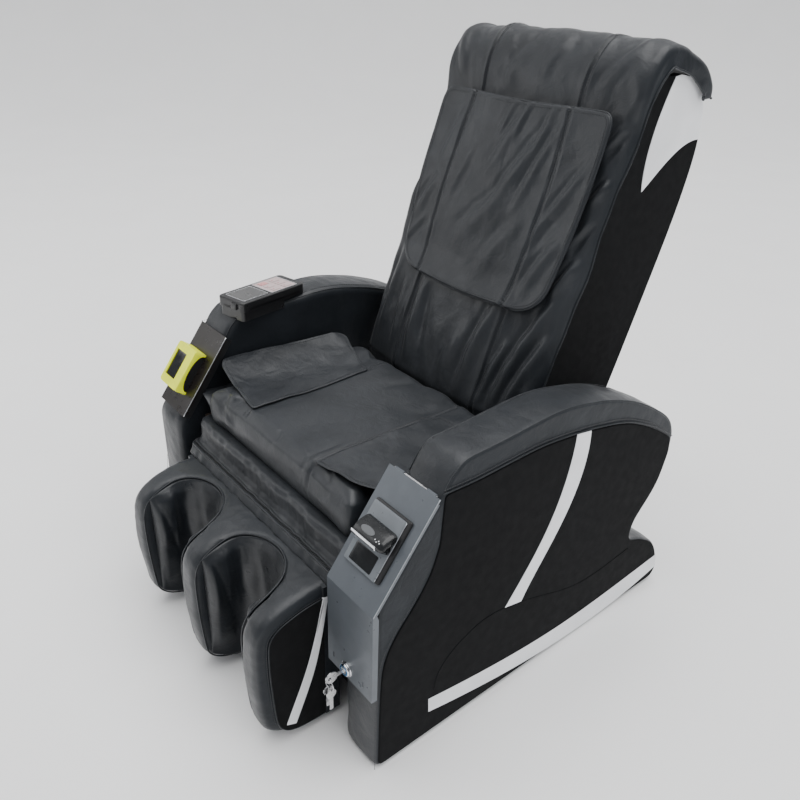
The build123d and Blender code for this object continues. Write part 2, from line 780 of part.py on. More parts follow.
# Frame of the backrest: two posts, and two cross bars that also hold the guide rods and the screw.
post_x = back_half - back_board - post_d / 2 - 8.5
post_w = -30
post_low, post_high = -30, 760
cross_v = (135, 725)
cross_h = 24
guide_x = 120
guide_d = 14
guide_w = -20
screw_d = 14


def up_plane(v, w):
    """A plane square to the back's length, for what runs up the back."""
    return Plane(origin=back_plane(v, w).origin, x_dir=(1, 0, 0), z_dir=(0, back_sin, back_cos))


def box_across(v, w, height, depth, x_from, x_to):
    """A block across the back, centred at (v, w)."""
    low, high = v - height / 2, v + height / 2
    rear, front = w - depth / 2, w + depth / 2
    return slab([(low, rear), (high, rear), (high, front), (low, front)], x_from, x_to)


with BuildPart() as back_frame:
    with BuildSketch(up_plane(post_low, post_w)):
        with Locations((post_x, 0), (-post_x, 0)):
            Rectangle(post_d, post_d)
            Rectangle(post_d - 2 * tube_wall, post_d - 2 * tube_wall, mode=Mode.SUBTRACT)
    extrude(amount=post_high - post_low)
    cross_half = post_x - post_d / 2 - weld
    for v in cross_v:
        add(box_across(v, guide_w, cross_h, 32, -cross_half, cross_half))
    for x, hole in ((guide_x, guide_d / 2), (-guide_x, guide_d / 2), (0, screw_d / 2 + pin_clearance)):
        with BuildSketch(up_plane(cross_v[0] - 20, guide_w)):
            with Locations((x, 0)):
                Circle(hole)
        extrude(amount=cross_v[1] - cross_v[0] + 40, mode=Mode.SUBTRACT)
save(back_frame.part, "back_frame")

# Hinge pins, torque tube and lever of the backrest.
torque_d = 30
with BuildPart() as back_shaft:
    with BuildSketch(Plane.YZ.offset(-(rail_in - gap))):
        with Locations((back_pivot_y, back_pivot_z)):
            Circle(pin_r)
    extrude(amount=2 * (rail_in - gap))
    with BuildSketch(Plane.YZ.offset(-(post_x + post_d / 2 + 20))):
        with Locations((back_pivot_y, back_pivot_z)):
            Circle(torque_d / 2)
    extrude(amount=2 * (post_x + post_d / 2 + 20))
    for x in (back_rod_x - fork_in - fork_plate, back_rod_x + fork_in):
        with BuildSketch(Plane.YZ.offset(x)):
            with BuildLine():
                Polyline((back_pivot_y - 14, back_pivot_z), (back_pivot_y + 14, back_pivot_z),
                         (back_lever_y + 10, back_lever_z), (back_lever_y - 10, back_lever_z),
                         (back_pivot_y - 14, back_pivot_z))
            make_face()
            with Locations((back_lever_y, back_lever_z)):
                Circle(10)
        extrude(amount=fork_plate)
    with BuildSketch(Plane.YZ.offset(back_rod_x - fork_in - fork_plate)):
        with Locations((back_lever_y, back_lever_z)):
            Circle(lever_pin_d / 2)
    extrude(amount=2 * (fork_in + fork_plate))
    add(back_frame.part, mode=Mode.SUBTRACT)
save(back_shaft.part, "back_pivot_shaft")

cushion_rear = panel_front + 1
cushion_front = 100
with BuildPart() as back_cushion:
    add(slab([(60, cushion_rear), (60, cushion_rear + 5), (126, cushion_rear + 6), (128, cushion_front - 8),
              (134, cushion_front), (696, cushion_front), (698, cushion_rear)], -back_half, back_half))
    fillet(back_cushion.edges().filter_by(lambda e: e.length > 400 and abs(e.center().X) > back_half - 1)
           .group_by(Axis.Y)[0], 10)
save(back_cushion.part, "back_cushion")

with BuildPart() as head_flap:
    with BuildSketch(back_plane(506, cushion_front + 0.4)):
        RectangleRounded(406, 360, 40)
    extrude(amount=10)
save(head_flap.part, "head_flap")

drape_outer = [(700, 104), (770, 100), (812, 78), (828, 40), (828, -20), (818, -70), (800, -98.3),
               (780, -104.5)]
drape_rest = [(778, -96), (783, -90), (804, -50), (793, 10), (771, 58), (742, 72), (700, 72)]
with BuildPart() as drape:
    add(slab(drape_rest, -back_half - 8, back_half + 8, drape_outer))
save(drape.part, "top_drape")

# ---- massage mechanism --------------------------------------------------------------------------
carriage_rest = 225
carriage_h = 120
carriage_thick = 26
with BuildPart() as guides:
    with BuildSketch(up_plane(cross_v[0] - cross_h / 2, guide_w)):
        with Locations((guide_x, 0), (-guide_x, 0)):
            Circle(guide_d / 2)
    extrude(amount=cross_v[1] - cross_v[0] + cross_h)
save(guides.part, "guide_rods")

with BuildPart() as screw:
    with BuildSketch(up_plane(cross_v[0] - cross_h / 2, guide_w)):
        Circle(screw_d / 2)
    extrude(amount=cross_v[1] - cross_v[0] + cross_h)
save(screw.part, "lead_screw")

shaft_r = 5
shaft_w = guide_w + carriage_thick / 2 + 12
lug_x = (-100, 88)
lug_w = 12
with BuildPart() as carriage:
    add(box_across(carriage_rest, guide_w, carriage_h, carriage_thick, -guide_x - 18, guide_x + 18))
    for x, d in ((guide_x, guide_d), (-guide_x, guide_d), (0, screw_d)):
        with BuildSketch(up_plane(carriage_rest - carriage_h, guide_w)):
            with Locations((x, 0)):
                Circle(d / 2 + pin_clearance)
        extrude(amount=2 * carriage_h, mode=Mode.SUBTRACT)
    for x in lug_x:
        add(box_across(carriage_rest, shaft_w - 2, 28, 20, x, x + lug_w))
    with BuildSketch(side_plane(-guide_x)):
        with Locations((carriage_rest, shaft_w)):
            Circle(shaft_r + pin_clearance)
    extrude(amount=2 * guide_x, mode=Mode.SUBTRACT)
save(carriage.part, "massage_carriage")

with BuildPart() as kneading_motor:
    with BuildSketch(back_plane(carriage_rest, guide_w - carriage_thick / 2)):
        RectangleRounded(110, 90, 10)
    extrude(amount=-40)
save(kneading_motor.part, "kneading_motor")

# Rocking shaft with two arms; each arm carries an upper and a lower roller.
arm_x = 62
roller_v = 48
roller_r = 19
roller_out = shaft_w + 19
knead_front = [(carriage_rest - roller_v - 8, roller_out - 5), (carriage_rest - 12, shaft_w - 8),
              (carriage_rest + 12, shaft_w - 8), (carriage_rest + roller_v + 8, roller_out - 5)]
knead_rear = [(carriage_rest + roller_v + 8, roller_out + 5), (carriage_rest + 12, shaft_w + 8),
              (carriage_rest - 12, shaft_w + 8), (carriage_rest - roller_v - 8, roller_out + 5)]
knead_profile = knead_front + knead_rear
with BuildPart() as kneading_arms:
    with BuildSketch(side_plane(-101)):
        with Locations((carriage_rest, shaft_w)):
            Circle(shaft_r)
    extrude(amount=202)
    for side in (1, -1):
        add(slab(knead_profile, side * arm_x - 3, side * arm_x + 3))
    for v in (carriage_rest - roller_v, carriage_rest + roller_v):
        for side in (1, -1):
            with BuildSketch(side_plane(side * arm_x - 20)):
                with Locations((v, roller_out)):
                    Circle(4)
            extrude(amount=40)
save(kneading_arms.part, "kneading_arms")

for name, v in (("lower_rollers", carriage_rest - roller_v), ("upper_rollers", carriage_rest + roller_v)):
    with BuildPart() as rollers:
        for side in (1, -1):
            for x in (side * arm_x - 19, side * arm_x + 4):
                with BuildSketch(side_plane(x)):
                    with Locations((v, roller_out)):
                        Circle(roller_r)
                        Circle(4 + pin_clearance, mode=Mode.SUBTRACT)
                extrude(amount=15)
    save(rollers.part, name)

# ---- leg rest -----------------------------------------------------------------------------------
leg_front = -497
leg_low = 16
leg_back = leg_pivot_y - 4
well_back = -366          # back wall of the calf wells
fin_profile_top = [(leg_back, 314), (-408, 312), (-457, 297), (-484, 277), (-495, 252)]
fin_profile_front = [(-495, 252), (leg_front, 221), (leg_front + 1, 170), (-492, 98), (-488, 59)]
fin_profile_toe = [(-488, 59), (-474, 41), (-455, 28), (-431, 20), (-382, leg_low)]


def leg_slice(x_from, x_to, y_back):
    """The leg rest's side profile, cut off at a back plane, between two x places."""
    with BuildPart() as piece:
        with BuildSketch(Plane.YZ.offset(x_from)):
            with BuildLine():
                Spline(*fin_profile_top)
                Spline(*fin_profile_front)
                Spline(*fin_profile_toe)
                Polyline(fin_profile_toe[-1], (leg_back, leg_low), fin_profile_top[0])
            make_face()
            if y_back < leg_back:
                with Locations(((y_back + leg_back) / 2 + 5, 170)):
                    Rectangle(leg_back - y_back + 10, 400, mode=Mode.SUBTRACT)
        extrude(amount=x_to - x_from)
    return piece.part


fins = ((leg_half - fin_outer, leg_half - inlay), (-fin_middle / 2, fin_middle / 2),
        (-leg_half + inlay, -leg_half + fin_outer))
with BuildPart() as leg_fins:
    for x_from, x_to in fins:
        add(leg_slice(x_from, x_to, well_back))
save(leg_fins.part, "leg_rest_fins")

# Back wall of the leg rest, with its hinge pins and the fork that the leg actuator pushes.
boss_x = leg_half - 24
boss_length = 18
wall_top = 312
with BuildPart() as leg_frame:
    with Locations((0, (well_back + leg_back) / 2, (leg_low + wall_top) / 2)):
        Box(leg_width - 2 * inlay, leg_back - well_back, wall_top - leg_low)
    for side in (1, -1):
        with BuildSketch(Plane.YZ.offset(side * boss_x)):
            with Locations((leg_pivot_y, leg_pivot_z)):
                Circle(pin_r + 5)
            with Locations((leg_pivot_y - 14, leg_pivot_z - 12)):
                Rectangle(24, 22)
        extrude(amount=side * boss_length)
        with BuildSketch(Plane.YZ.offset(side * boss_x)):
            with Locations((leg_pivot_y, leg_pivot_z)):
                Circle(pin_r)
        extrude(amount=side * (rail_in - gap - boss_x))
    for x in (leg_rod_x - fork_in - fork_plate, leg_rod_x + fork_in):
        with BuildSketch(Plane.YZ.offset(x)):
            with BuildLine():
                Polyline((leg_back, 300), (leg_back, 250), (leg_lever_y, leg_lever_z - 9),
                         (leg_lever_y, leg_lever_z + 9), (leg_back, 300))
            make_face()
            with Locations((leg_lever_y, leg_lever_z)):
                Circle(9)
        extrude(amount=fork_plate)
    with BuildSketch(Plane.YZ.offset(leg_rod_x - fork_in - fork_plate)):
        with Locations((leg_lever_y, leg_lever_z)):
            Circle(lever_pin_d / 2)
    extrude(amount=2 * (fork_in + fork_plate))
save(leg_frame.part, "leg_rest_frame")

with BuildPart() as calf_pads:
    pad_in = fin_middle / 2 + 2
    pad_out = leg_half - fin_outer - 2
    with Locations(*both([((pad_in + pad_out) / 2, well_back - 8, 160)])):
        Box(pad_out - pad_in, 16, 270)
    fillet(calf_pads.edges().filter_by(Axis.Z).group_by(Axis.Y)[0], 6)
save(calf_pads.part, "calf_pads")

with BuildPart() as leg_stripes:
    with BuildSketch(Plane.YZ.offset(leg_half - inlay)):
        with BuildLine():
            Spline((-368, 310), (-385, 213), (-407, 142), (-455, 32))
            Line((-455, 32), (-434, 24))
            Spline((-434, 24), (-391, 131), (-372, 205), (-358, 309))
            Line((-358, 309), (-368, 310))
        make_face()
    extrude(amount=inlay)
    mirror(about=Plane.YZ)
save(leg_stripes.part, "leg_stripes")
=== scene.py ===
import math
import bmesh
import bpy
import numpy as np
from mathutils import Matrix, Vector
from mathutils.bvhtree import BVHTree


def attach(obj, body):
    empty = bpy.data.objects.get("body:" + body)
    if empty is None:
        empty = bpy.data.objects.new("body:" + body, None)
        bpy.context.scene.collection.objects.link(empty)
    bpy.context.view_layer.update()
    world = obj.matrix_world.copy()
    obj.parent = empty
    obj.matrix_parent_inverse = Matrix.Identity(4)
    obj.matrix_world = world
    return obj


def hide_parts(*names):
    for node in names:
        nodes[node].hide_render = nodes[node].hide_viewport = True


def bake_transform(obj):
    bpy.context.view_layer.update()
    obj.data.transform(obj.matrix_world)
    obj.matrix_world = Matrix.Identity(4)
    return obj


# Looks of a massage chair that takes notes and cards. Lengths in the helpers are millimetres in the CAD
# frame: +X is the sitter's left, -Y the front, +Z up. They become metres when a mesh is made.

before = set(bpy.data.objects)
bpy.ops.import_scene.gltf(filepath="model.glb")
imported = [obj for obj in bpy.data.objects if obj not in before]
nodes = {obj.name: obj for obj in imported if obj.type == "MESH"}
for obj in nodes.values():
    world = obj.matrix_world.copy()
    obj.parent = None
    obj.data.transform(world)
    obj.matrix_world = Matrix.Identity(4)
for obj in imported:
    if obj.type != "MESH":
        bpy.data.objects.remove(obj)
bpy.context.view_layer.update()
MM = 0.001
CLOTH_PRESSURE, CLOTH_VOXEL, CLOTH_FRAMES = 4.0, 0.005, 20


# ---- materials ----------------------------------------------------------------------------------
class Shader:
    """A small builder for node materials."""

    def __init__(self, name):
        self.mat = bpy.data.materials.new(name)
        self.mat.use_nodes = True
        self.tree = self.mat.node_tree
        self.bsdf = self.tree.nodes["Principled BSDF"]
        self.coord = self.add("ShaderNodeTexCoord").outputs["Object"]
        self.normal = None

    def add(self, kind, **values):
        node = self.tree.nodes.new(kind)
        for key, value in values.items():
            setattr(node, key, value)
        return node

    def link(self, a, b):
        self.tree.links.new(a, b)

    def put(self, **values):
        """Set sockets of the shader by name; underscores stand for blanks."""
        for key, value in values.items():
            self.bsdf.inputs[key.replace("_", " ")].default_value = value

    def mapped(self, scale=(1, 1, 1), turn=(0, 0, 0)):
        node = self.add("ShaderNodeMapping")
        node.inputs["Scale"].default_value = scale
        node.inputs["Rotation"].default_value = turn
        self.link(self.coord, node.inputs["Vector"])
        return node.outputs["Vector"]

    def sideways(self, low, high):
        """A value that goes from low to high as the surface turns from the top or front to the sides:
        painted shade that dims the side faces.
        """
        split = self.add("ShaderNodeSeparateXYZ")
        self.link(self.add("ShaderNodeNewGeometry").outputs["Normal"], split.inputs["Vector"])
        size = self.add("ShaderNodeMath", operation="ABSOLUTE")
        self.link(split.outputs["X"], size.inputs[0])
        return self.ranged(size.outputs["Value"], low, high, 0.7, 0.97)

    def noise(self, scale, detail=3, rough=0.5, warp=0.0, vector=None):
        node = self.add("ShaderNodeTexNoise")
        node.inputs["Scale"].default_value = scale
        node.inputs["Detail"].default_value = detail
        node.inputs["Roughness"].default_value = rough
        node.inputs["Distortion"].default_value = warp
        self.link(vector or self.coord, node.inputs["Vector"])
        return node.outputs["Fac"]

    def cells(self, scale):
        node = self.add("ShaderNodeTexVoronoi")
        node.inputs["Scale"].default_value = scale
        self.link(self.coord, node.inputs["Vector"])
        return node.outputs["Distance"]

    def ranged(self, value, low, high, at_low=0.3, at_high=0.7):
        node = self.add("ShaderNodeMapRange")
        node.inputs["From Min"].default_value = at_low
        node.inputs["From Max"].default_value = at_high
        node.inputs["To Min"].default_value = low
        node.inputs["To Max"].default_value = high
        self.link(value, node.inputs["Value"])
        return node.outputs["Result"]

    def ramp(self, value, low, high):
        node = self.add("ShaderNodeValToRGB")
        node.color_ramp.elements[0].position = 0.3
        node.color_ramp.elements[1].position = 0.7
        node.color_ramp.elements[0].color = (*low, 1)
        node.color_ramp.elements[1].color = (*high, 1)
        self.link(value, node.inputs["Fac"])
        return node.outputs["Color"]

    def bump(self, height, strength, distance):
        node = self.add("ShaderNodeBump")
        node.inputs["Strength"].default_value = strength
        node.inputs["Distance"].default_value = distance
        self.link(height, node.inputs["Height"])
        if self.normal is not None:
            self.link(self.normal, node.inputs["Normal"])
        self.normal = node.outputs["Normal"]
        self.link(self.normal, self.bsdf.inputs["Normal"])

    def colour(self, output):
        self.link(output, self.bsdf.inputs["Base Color"])

    def rough(self, output):
        self.link(output, self.bsdf.inputs["Roughness"])


def shade(colour, factor):
    return tuple(c * factor for c in colour)


def leather(name, colour, gloss=0.40, creases=0.5, folds=0.0, wear=1.35):
    """Grained synthetic leather: fine pebble grain, soft creases, painted shade that dims the side faces
    and, if asked for, slanting folds.
    """
    s = Shader(name)
    s.colour(s.ramp(s.noise(9, 4), shade(colour, 0.86), shade(colour, wear * 0.85)))
    s.rough(s.ranged(s.noise(26, 4, 0.6), gloss - 0.06, gloss + 0.09))
    # Painted shade: less specular and no sheen on the side faces, so they read darker than the tops.
    s.link(s.sideways(0.42, 0.12), s.bsdf.inputs["Specular IOR Level"])
    s.link(s.sideways(0.05, 0.0), s.bsdf.inputs["Sheen Weight"])
    if folds:
        slanted = s.mapped((1.0, 1.0, 0.28), (0.6, 0.2, 0.6))
        s.bump(s.noise(15, 2, 0.45, 0.8, slanted), folds, 0.02)
    s.bump(s.noise(34, 3, 0.55, 0.5), creases, 0.003)
    s.bump(s.cells(720), 0.22, 0.0005)
    s.bump(s.noise(1500, 2), 0.10, 0.0003)
    return s.mat


def velvet(name, colour):
    """Short-pile cloth: very dark, matt, with a faint brushed mottling."""
    s = Shader(name)
    s.colour(s.ramp(s.noise(7, 4, 0.6, 0.6), shade(colour, 0.8), shade(colour, 1.25)))
    s.rough(s.ranged(s.noise(60, 3), 0.82, 0.95))
    s.put(Specular_IOR_Level=0.12, Sheen_Weight=0.02, Sheen_Roughness=0.6)
    s.bump(s.noise(900, 3, 0.7), 0.35, 0.0006)
    s.bump(s.noise(45, 3), 0.10, 0.002)
    return s.mat


def painted(name, colour, gloss=0.35, metallic=0.0, texture=700, depth=0.15):
    """Powder coat or moulded plastic with a fine texture, faint mottling and slightly uneven gloss."""
    s = Shader(name)
    s.colour(s.ramp(s.noise(30, 4, 0.6), shade(colour, 0.92), shade(colour, 1.08)))
    s.rough(s.ranged(s.noise(55, 4, 0.6), gloss - 0.05, gloss + 0.07))
    s.put(Metallic=metallic, Specular_IOR_Level=0.5)
    s.bump(s.noise(texture, 2, 0.6), depth, 0.0004)
    return s.mat


def metal(name, colour, gloss=0.2, scratch=0.05):
    """Bare or plated metal with fine drawn lines."""
    s = Shader(name)
    drawn = s.noise(160, 3, 0.6, 0.0, s.mapped((1, 1, 12)))
    s.colour(s.ramp(s.noise(40, 3), shade(colour, 0.93), colour))
    s.rough(s.ranged(drawn, gloss - 0.04, gloss + 0.06))
    s.put(Metallic=1.0)
    s.bump(drawn, scratch, 0.0004)
    return s.mat


def wood(name, colour):
    s = Shader(name)
    grain = s.noise(22, 5, 0.6, 1.5, s.mapped((1, 0.12, 3)))
    s.colour(s.ramp(grain, shade(colour, 0.65), colour))
    s.rough(s.ranged(grain, 0.55, 0.75))
    s.bump(grain, 0.2, 0.001)
    return s.mat


BLACK = (0.017, 0.0195, 0.023)
looks = {
    "leather_black": leather("leather_black", BLACK),
    "velvet_black": velvet("velvet_black", (0.0022, 0.0024, 0.0029)),
    "leather_white": leather("leather_white", (0.88, 0.89, 0.91), 0.5, 0.25, wear=1.18),
    "steel_black": painted("steel_black", (0.02, 0.02, 0.022), 0.45),
    "steel_grey": painted("steel_grey", (0.10, 0.112, 0.126), 0.32, 0.25),
    "steel_dark": painted("steel_dark", (0.016, 0.013, 0.012), 0.3, 0.2),
    "plastic_black": painted("plastic_black", (0.012, 0.012, 0.013), 0.32),
    "plastic_grey": painted("plastic_grey", (0.10, 0.105, 0.11), 0.45),
    "plastic_yellow": painted("plastic_yellow", (0.90, 0.98, 0.02), 0.38),
    "screen_grey": painted("screen_grey", (0.075, 0.075, 0.075), 0.22, 0, 1500, 0.02),
    "keypad_pink": painted("keypad_pink", (0.50, 0.40, 0.40), 0.5, 0, 1200, 0.05),
    "key_red": painted("key_red", (0.60, 0.30, 0.30), 0.5, 0, 1200, 0.05),
    "chrome": metal("chrome", (0.80, 0.81, 0.83), 0.12, scratch=0.02),
    "steel_bright": metal("steel_bright", (0.62, 0.62, 0.63), 0.25),
    "aluminium": metal("aluminium", (0.72, 0.73, 0.75), 0.34),
    "plywood": wood("plywood", (0.05, 0.035, 0.025)),
    "rubber": painted("rubber", (0.018, 0.018, 0.018), 0.8, 0, 300, 0.4),
}
fold_leather = leather("leather_folded", BLACK, 0.38, 0.45, 0.14)
liner_leather = leather("leather_glossy", (0.014, 0.016, 0.019), 0.33, 0.55, 0.25)
thread = painted("thread", (0.035, 0.037, 0.041), 0.6, 0, 2500, 0.5)


def dressed(obj, material):
    obj.data.materials.clear()
    obj.data.materials.append(material)
    return obj


for node in nodes.values():
    slots = [m.name.split(".")[0] for m in node.data.materials if m]
    dressed(node, looks[slots[0]] if slots and slots[0] in looks else looks["steel_black"])
    node.data.set_sharp_from_angle(angle=math.radians(35))


# ---- camera, floor, light -----------------------------------------------------------------------
def set_camera():
    azimuth, elevation, roll = 0.86807, 0.50524, 0.03518
    back = Vector((math.sin(azimuth) * math.cos(elevation), -math.cos(azimuth) * math.cos(elevation),
                   math.sin(elevation)))
    right = (-back).cross(Vector((0, 0, 1))).normalized()
    up = right.cross(-back)
    across = math.cos(roll) * right + math.sin(roll) * up
    above = math.cos(roll) * up - math.sin(roll) * right
    camera = bpy.data.objects.new("camera", bpy.data.cameras.new("camera"))
    bpy.context.scene.collection.objects.link(camera)
    place = Vector((1.02632, -0.88285, 1.17846))
    camera.matrix_world = Matrix((
        (across.x, above.x, back.x, place.x), (across.y, above.y, back.y, place.y),
        (across.z, above.z, back.z, place.z), (0, 0, 0, 1)))
    camera.data.lens = 34.59
    camera.data.sensor_width = 36
    bpy.context.scene.camera = camera


def area_light(name, place, target, size, power):
    data = bpy.data.lights.new(name, "AREA")
    data.shape = "RECTANGLE"
    data.size = size[0]
    data.size_y = size[1]
    data.energy = power
    light = bpy.data.objects.new(name, data)
    bpy.context.scene.collection.objects.link(light)
    light.location = place
    light.rotation_euler = (Vector(target) - Vector(place)).to_track_quat("-Z", "Y").to_euler()
    return light


def set_studio():
    """A pale floor that sweeps up behind the chair, a broad soft light from above, and weak fills."""
    away = Vector((-math.sin(0.868), math.cos(0.868), 0))
    aside = Vector((away.y, -away.x, 0))
    line = [(-12, 0), (4.5, 0)]
    line += [(4.5 + 2.5 * math.sin(t), 2.5 - 2.5 * math.cos(t)) for t in np.linspace(0.1, math.pi / 2, 16)]
    line += [(7.0, 9.0)]
    points = [away * d + aside * across + Vector((0, 0, z)) for d, z in line for across in (-16, 16)]
    mesh = bpy.data.meshes.new("floor")
    mesh.from_pydata(points, [], [(2 * k, 2 * k + 1, 2 * k + 3, 2 * k + 2) for k in range(len(line) - 1)])
    mesh.polygons.foreach_set("use_smooth", [True] * len(mesh.polygons))
    floor = bpy.data.objects.new("floor", mesh)
    bpy.context.scene.collection.objects.link(floor)
    s = Shader("floor_pale")
    s.colour(s.ramp(s.noise(3, 3), (0.87, 0.87, 0.87), (0.89, 0.89, 0.89)))
    s.rough(s.ranged(s.noise(20, 3), 0.75, 0.85))
    dressed(floor, s.mat)
    world = bpy.data.worlds.new("studio")
    world.use_nodes = True
    world.node_tree.nodes["Background"].inputs["Color"].default_value = (0.93, 0.95, 1.0, 1)
    world.node_tree.nodes["Background"].inputs["Strength"].default_value = 0.31
    bpy.context.scene.world = world
    centre = (0, 0, 0.5)
    area_light("key", (-1.2, -0.9, 3.2), centre, (2.4, 2.4), 14)
    area_light("side", (3.0, 0.2, 1.8), centre, (2.2, 2.2), 30).visible_glossy = False
    area_light("front", (-2.3, -2.2, 1.9), centre, (1.6, 1.6), 18)
    sun = bpy.data.lights.new("overhead", "SUN")
    sun.energy = 3.8
    sun.angle = math.radians(70)
    overhead = bpy.data.objects.new("overhead", sun)
    overhead.rotation_euler = (math.radians(-5), math.radians(6), 0)
    bpy.context.scene.collection.objects.link(overhead)


set_camera()
set_studio()

# ---- lines and fields ---------------------------------------------------------------------------
def curve(points, step=5.0):
    """Points about every step mm along a smooth line through the given points."""
    p = np.array(points, float)
    ends = np.vstack([2 * p[0] - p[1], p, 2 * p[-1] - p[-2]])
    out = []
    for a, b, c, d in zip(ends, ends[1:], ends[2:], ends[3:]):
        t = np.linspace(0, 1, max(2, int(np.linalg.norm(c - b) / step)), endpoint=False)[:, None]
        out.append(0.5 * (2 * b + (c - a) * t + (2 * a - 5 * b + 4 * c - d) * t ** 2
                          + (3 * b - a - 3 * c + d) * t ** 3))
    return np.vstack(out + [p[-1:]])


def even(points, step, closed=False):
    """The same line with its points evenly spaced."""
    p = np.array(points, float)
    if closed:
        p = np.vstack([p, p[:1]])
    far = np.r_[True, np.linalg.norm(np.diff(p, axis=0), axis=1) > 1e-6]
    p = p[far]
    run = np.r_[0, np.cumsum(np.linalg.norm(np.diff(p, axis=0), axis=1))]
    t = np.linspace(0, run[-1], max(3, int(round(run[-1] / step))) + 1)
    q = np.column_stack([np.interp(t, run, p[:, k]) for k in range(p.shape[1])])
    return q[:-1] if closed else q


def soften(points, times):
    """Round the corners of a closed line."""
    p = np.array(points, float)
    for _ in range(times):
        p = 0.5 * p + 0.25 * (np.roll(p, 1, 0) + np.roll(p, -1, 0))
    return p


def wave(seed, scale):
    """A smooth random field in two coordinates, about -1 to 1; scale is its usual wavelength."""
    count = 7
    rng = np.random.default_rng(seed)
    turn = rng.uniform(0, math.pi, count)
    size = 2 * math.pi / (scale * rng.uniform(0.6, 1.7, count))
    start = rng.uniform(0, 2 * math.pi, count)

    def field(a, b):
        total = 0
        for k in range(count):
            total = total + np.sin((a * math.cos(turn[k]) + b * math.sin(turn[k])) * size[k] + start[k])
        return total / math.sqrt(count)
    return field


def folds(a, b, lines):
    """Height of soft folds. Each line is (a0, b0, a1, b1, height, width): a ridge beside a crease."""
    total = np.zeros_like(a)
    for a0, b0, a1, b1, height, width in lines:
        length = math.hypot(a1 - a0, b1 - b0)
        ea, eb = (a1 - a0) / length, (b1 - b0) / length
        along = ((a - a0) * ea + (b - b0) * eb) / length
        off = (a - a0) * -eb + (b - b0) * ea
        off = off + 0.12 * length * (along - 0.5) ** 2
        fade = np.clip(1.1 - (2.0 * along - 1.0) ** 2, 0, 1) * (along > -0.05) * (along < 1.05)
        ridge = np.exp(-(off / width) ** 2) - 0.7 * np.exp(-((off - 1.25 * width) / (0.6 * width)) ** 2)
        total = total + height * fade * ridge
    return total


def groove(offset, depth, width, puff=0.0):
    """A sewn seam: a narrow valley, with the padding a little proud beside it."""
    return puff * np.exp(-(offset / (5 * width)) ** 2) - (depth + puff) * np.exp(-(offset / width) ** 2)


# ---- meshes -------------------------------------------------------------------------------------
def make(name, points, faces, material, body=None, sharp=None):
    """A mesh object from millimetre points, with its faces turned outwards."""
    mesh = bpy.data.meshes.new(name)
    mesh.from_pydata((np.asarray(points, float).reshape(-1, 3) * MM).tolist(), [], faces)
    work = bmesh.new()
    work.from_mesh(mesh)
    bmesh.ops.remove_doubles(work, verts=work.verts, dist=1e-6)
    bmesh.ops.recalc_face_normals(work, faces=work.faces)
    work.to_mesh(mesh)
    work.free()
    mesh.polygons.foreach_set("use_smooth", [True] * len(mesh.polygons))
    if sharp:
        mesh.set_sharp_from_angle(angle=math.radians(sharp))
    obj = bpy.data.objects.new(name, mesh)
    bpy.context.scene.collection.objects.link(obj)
    dressed(obj, material)
    if body:
        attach(obj, body)
    return obj


def coords(obj):
    co = np.zeros(len(obj.data.vertices) * 3)
    obj.data.vertices.foreach_get("co", co)
    return co.reshape(-1, 3) / MM


def put_coords(obj, points):
    obj.data.vertices.foreach_set("co", (points * MM).ravel())
    obj.data.update()


def displace(obj, field):
    """Move each point along its normal by field(points), in millimetres."""
    normal = np.zeros(len(obj.data.vertices) * 3)
    obj.data.vertex_normals.foreach_get("vector", normal)
    points = coords(obj)
    put_coords(obj, points + normal.reshape(-1, 3) * field(points)[:, None])
    return obj


def apply_modifiers(obj):
    bpy.context.view_layer.update()
    seen = obj.evaluated_get(bpy.context.evaluated_depsgraph_get())
    mesh = bpy.data.meshes.new_from_object(seen)
    obj.modifiers.clear()
    obj.data = mesh
    mesh.polygons.foreach_set("use_smooth", [True] * len(mesh.polygons))
    return obj


def modified(obj, kind, **values):
    modifier = obj.modifiers.new(kind, kind)
    for key, value in values.items():
        setattr(modifier, key, value)
    return apply_modifiers(obj)


def grid_faces(rows, columns, wrap=False):
    last = columns if wrap else columns - 1
    return [(r * columns + c, r * columns + (c + 1) % columns, (r + 1) * columns + (c + 1) % columns,
             (r + 1) * columns + c) for r in range(rows - 1) for c in range(last)]


def slab(name, outline, centre, low, high, r_low, r_high, place, material, body=None, belly=0.0,
         rings=8, side=5):
    """A closed padded slab. Its outline lies in (a, b) and its thickness in h; place(a, b, h) gives
    x, y, z. The rims are rounded by r_low and r_high, and the edge bulges by belly."""
    p = np.array(outline, float)
    step = np.roll(p, -1, 0) - np.roll(p, 1, 0)
    step /= np.linalg.norm(step, axis=1)[:, None]
    inward = np.column_stack([-step[:, 1], step[:, 0]])
    centre = np.array(centre, float)
    if np.sum(inward * (centre - p)) < 0:
        inward = -inward
    rows = []

    def cap(level, radius, order):
        rim = p + inward * radius
        for k in order:
            share = 1 - (1 - k / rings) ** 1.6
            ring = centre + (rim - centre) * max(share, 0.004)
            rows.append(np.column_stack([ring, np.full(len(p), level)]))

    cap(low, r_low, range(0, rings))
    for k in range(6):
        turn = math.pi / 2 * k / 5
        rows.append(np.column_stack([p + inward * r_low * (1 - math.sin(turn)),
                                     np.full(len(p), low + r_low * (1 - math.cos(turn)))]))
    for k in range(1, side):
        share = k / side
        rows.append(np.column_stack([p - inward * belly * 4 * share * (1 - share),
                                     np.full(len(p), low + r_low + share * (high - r_high - low - r_low))]))
    for k in range(6):
        turn = math.pi / 2 * (1 - k / 5)
        rows.append(np.column_stack([p + inward * r_high * (1 - math.sin(turn)),
                                     np.full(len(p), high - r_high * (1 - math.cos(turn)))]))
    cap(high, r_high, range(rings - 1, -1, -1))
    points = np.vstack(rows)
    n = len(p)
    faces = grid_faces(len(rows), n, True)
    faces += [tuple(range(n)), tuple(range((len(rows) - 1) * n, len(rows) * n))]
    return make(name, np.column_stack(place(points[:, 0], points[:, 1], points[:, 2])), faces,
                material, body)


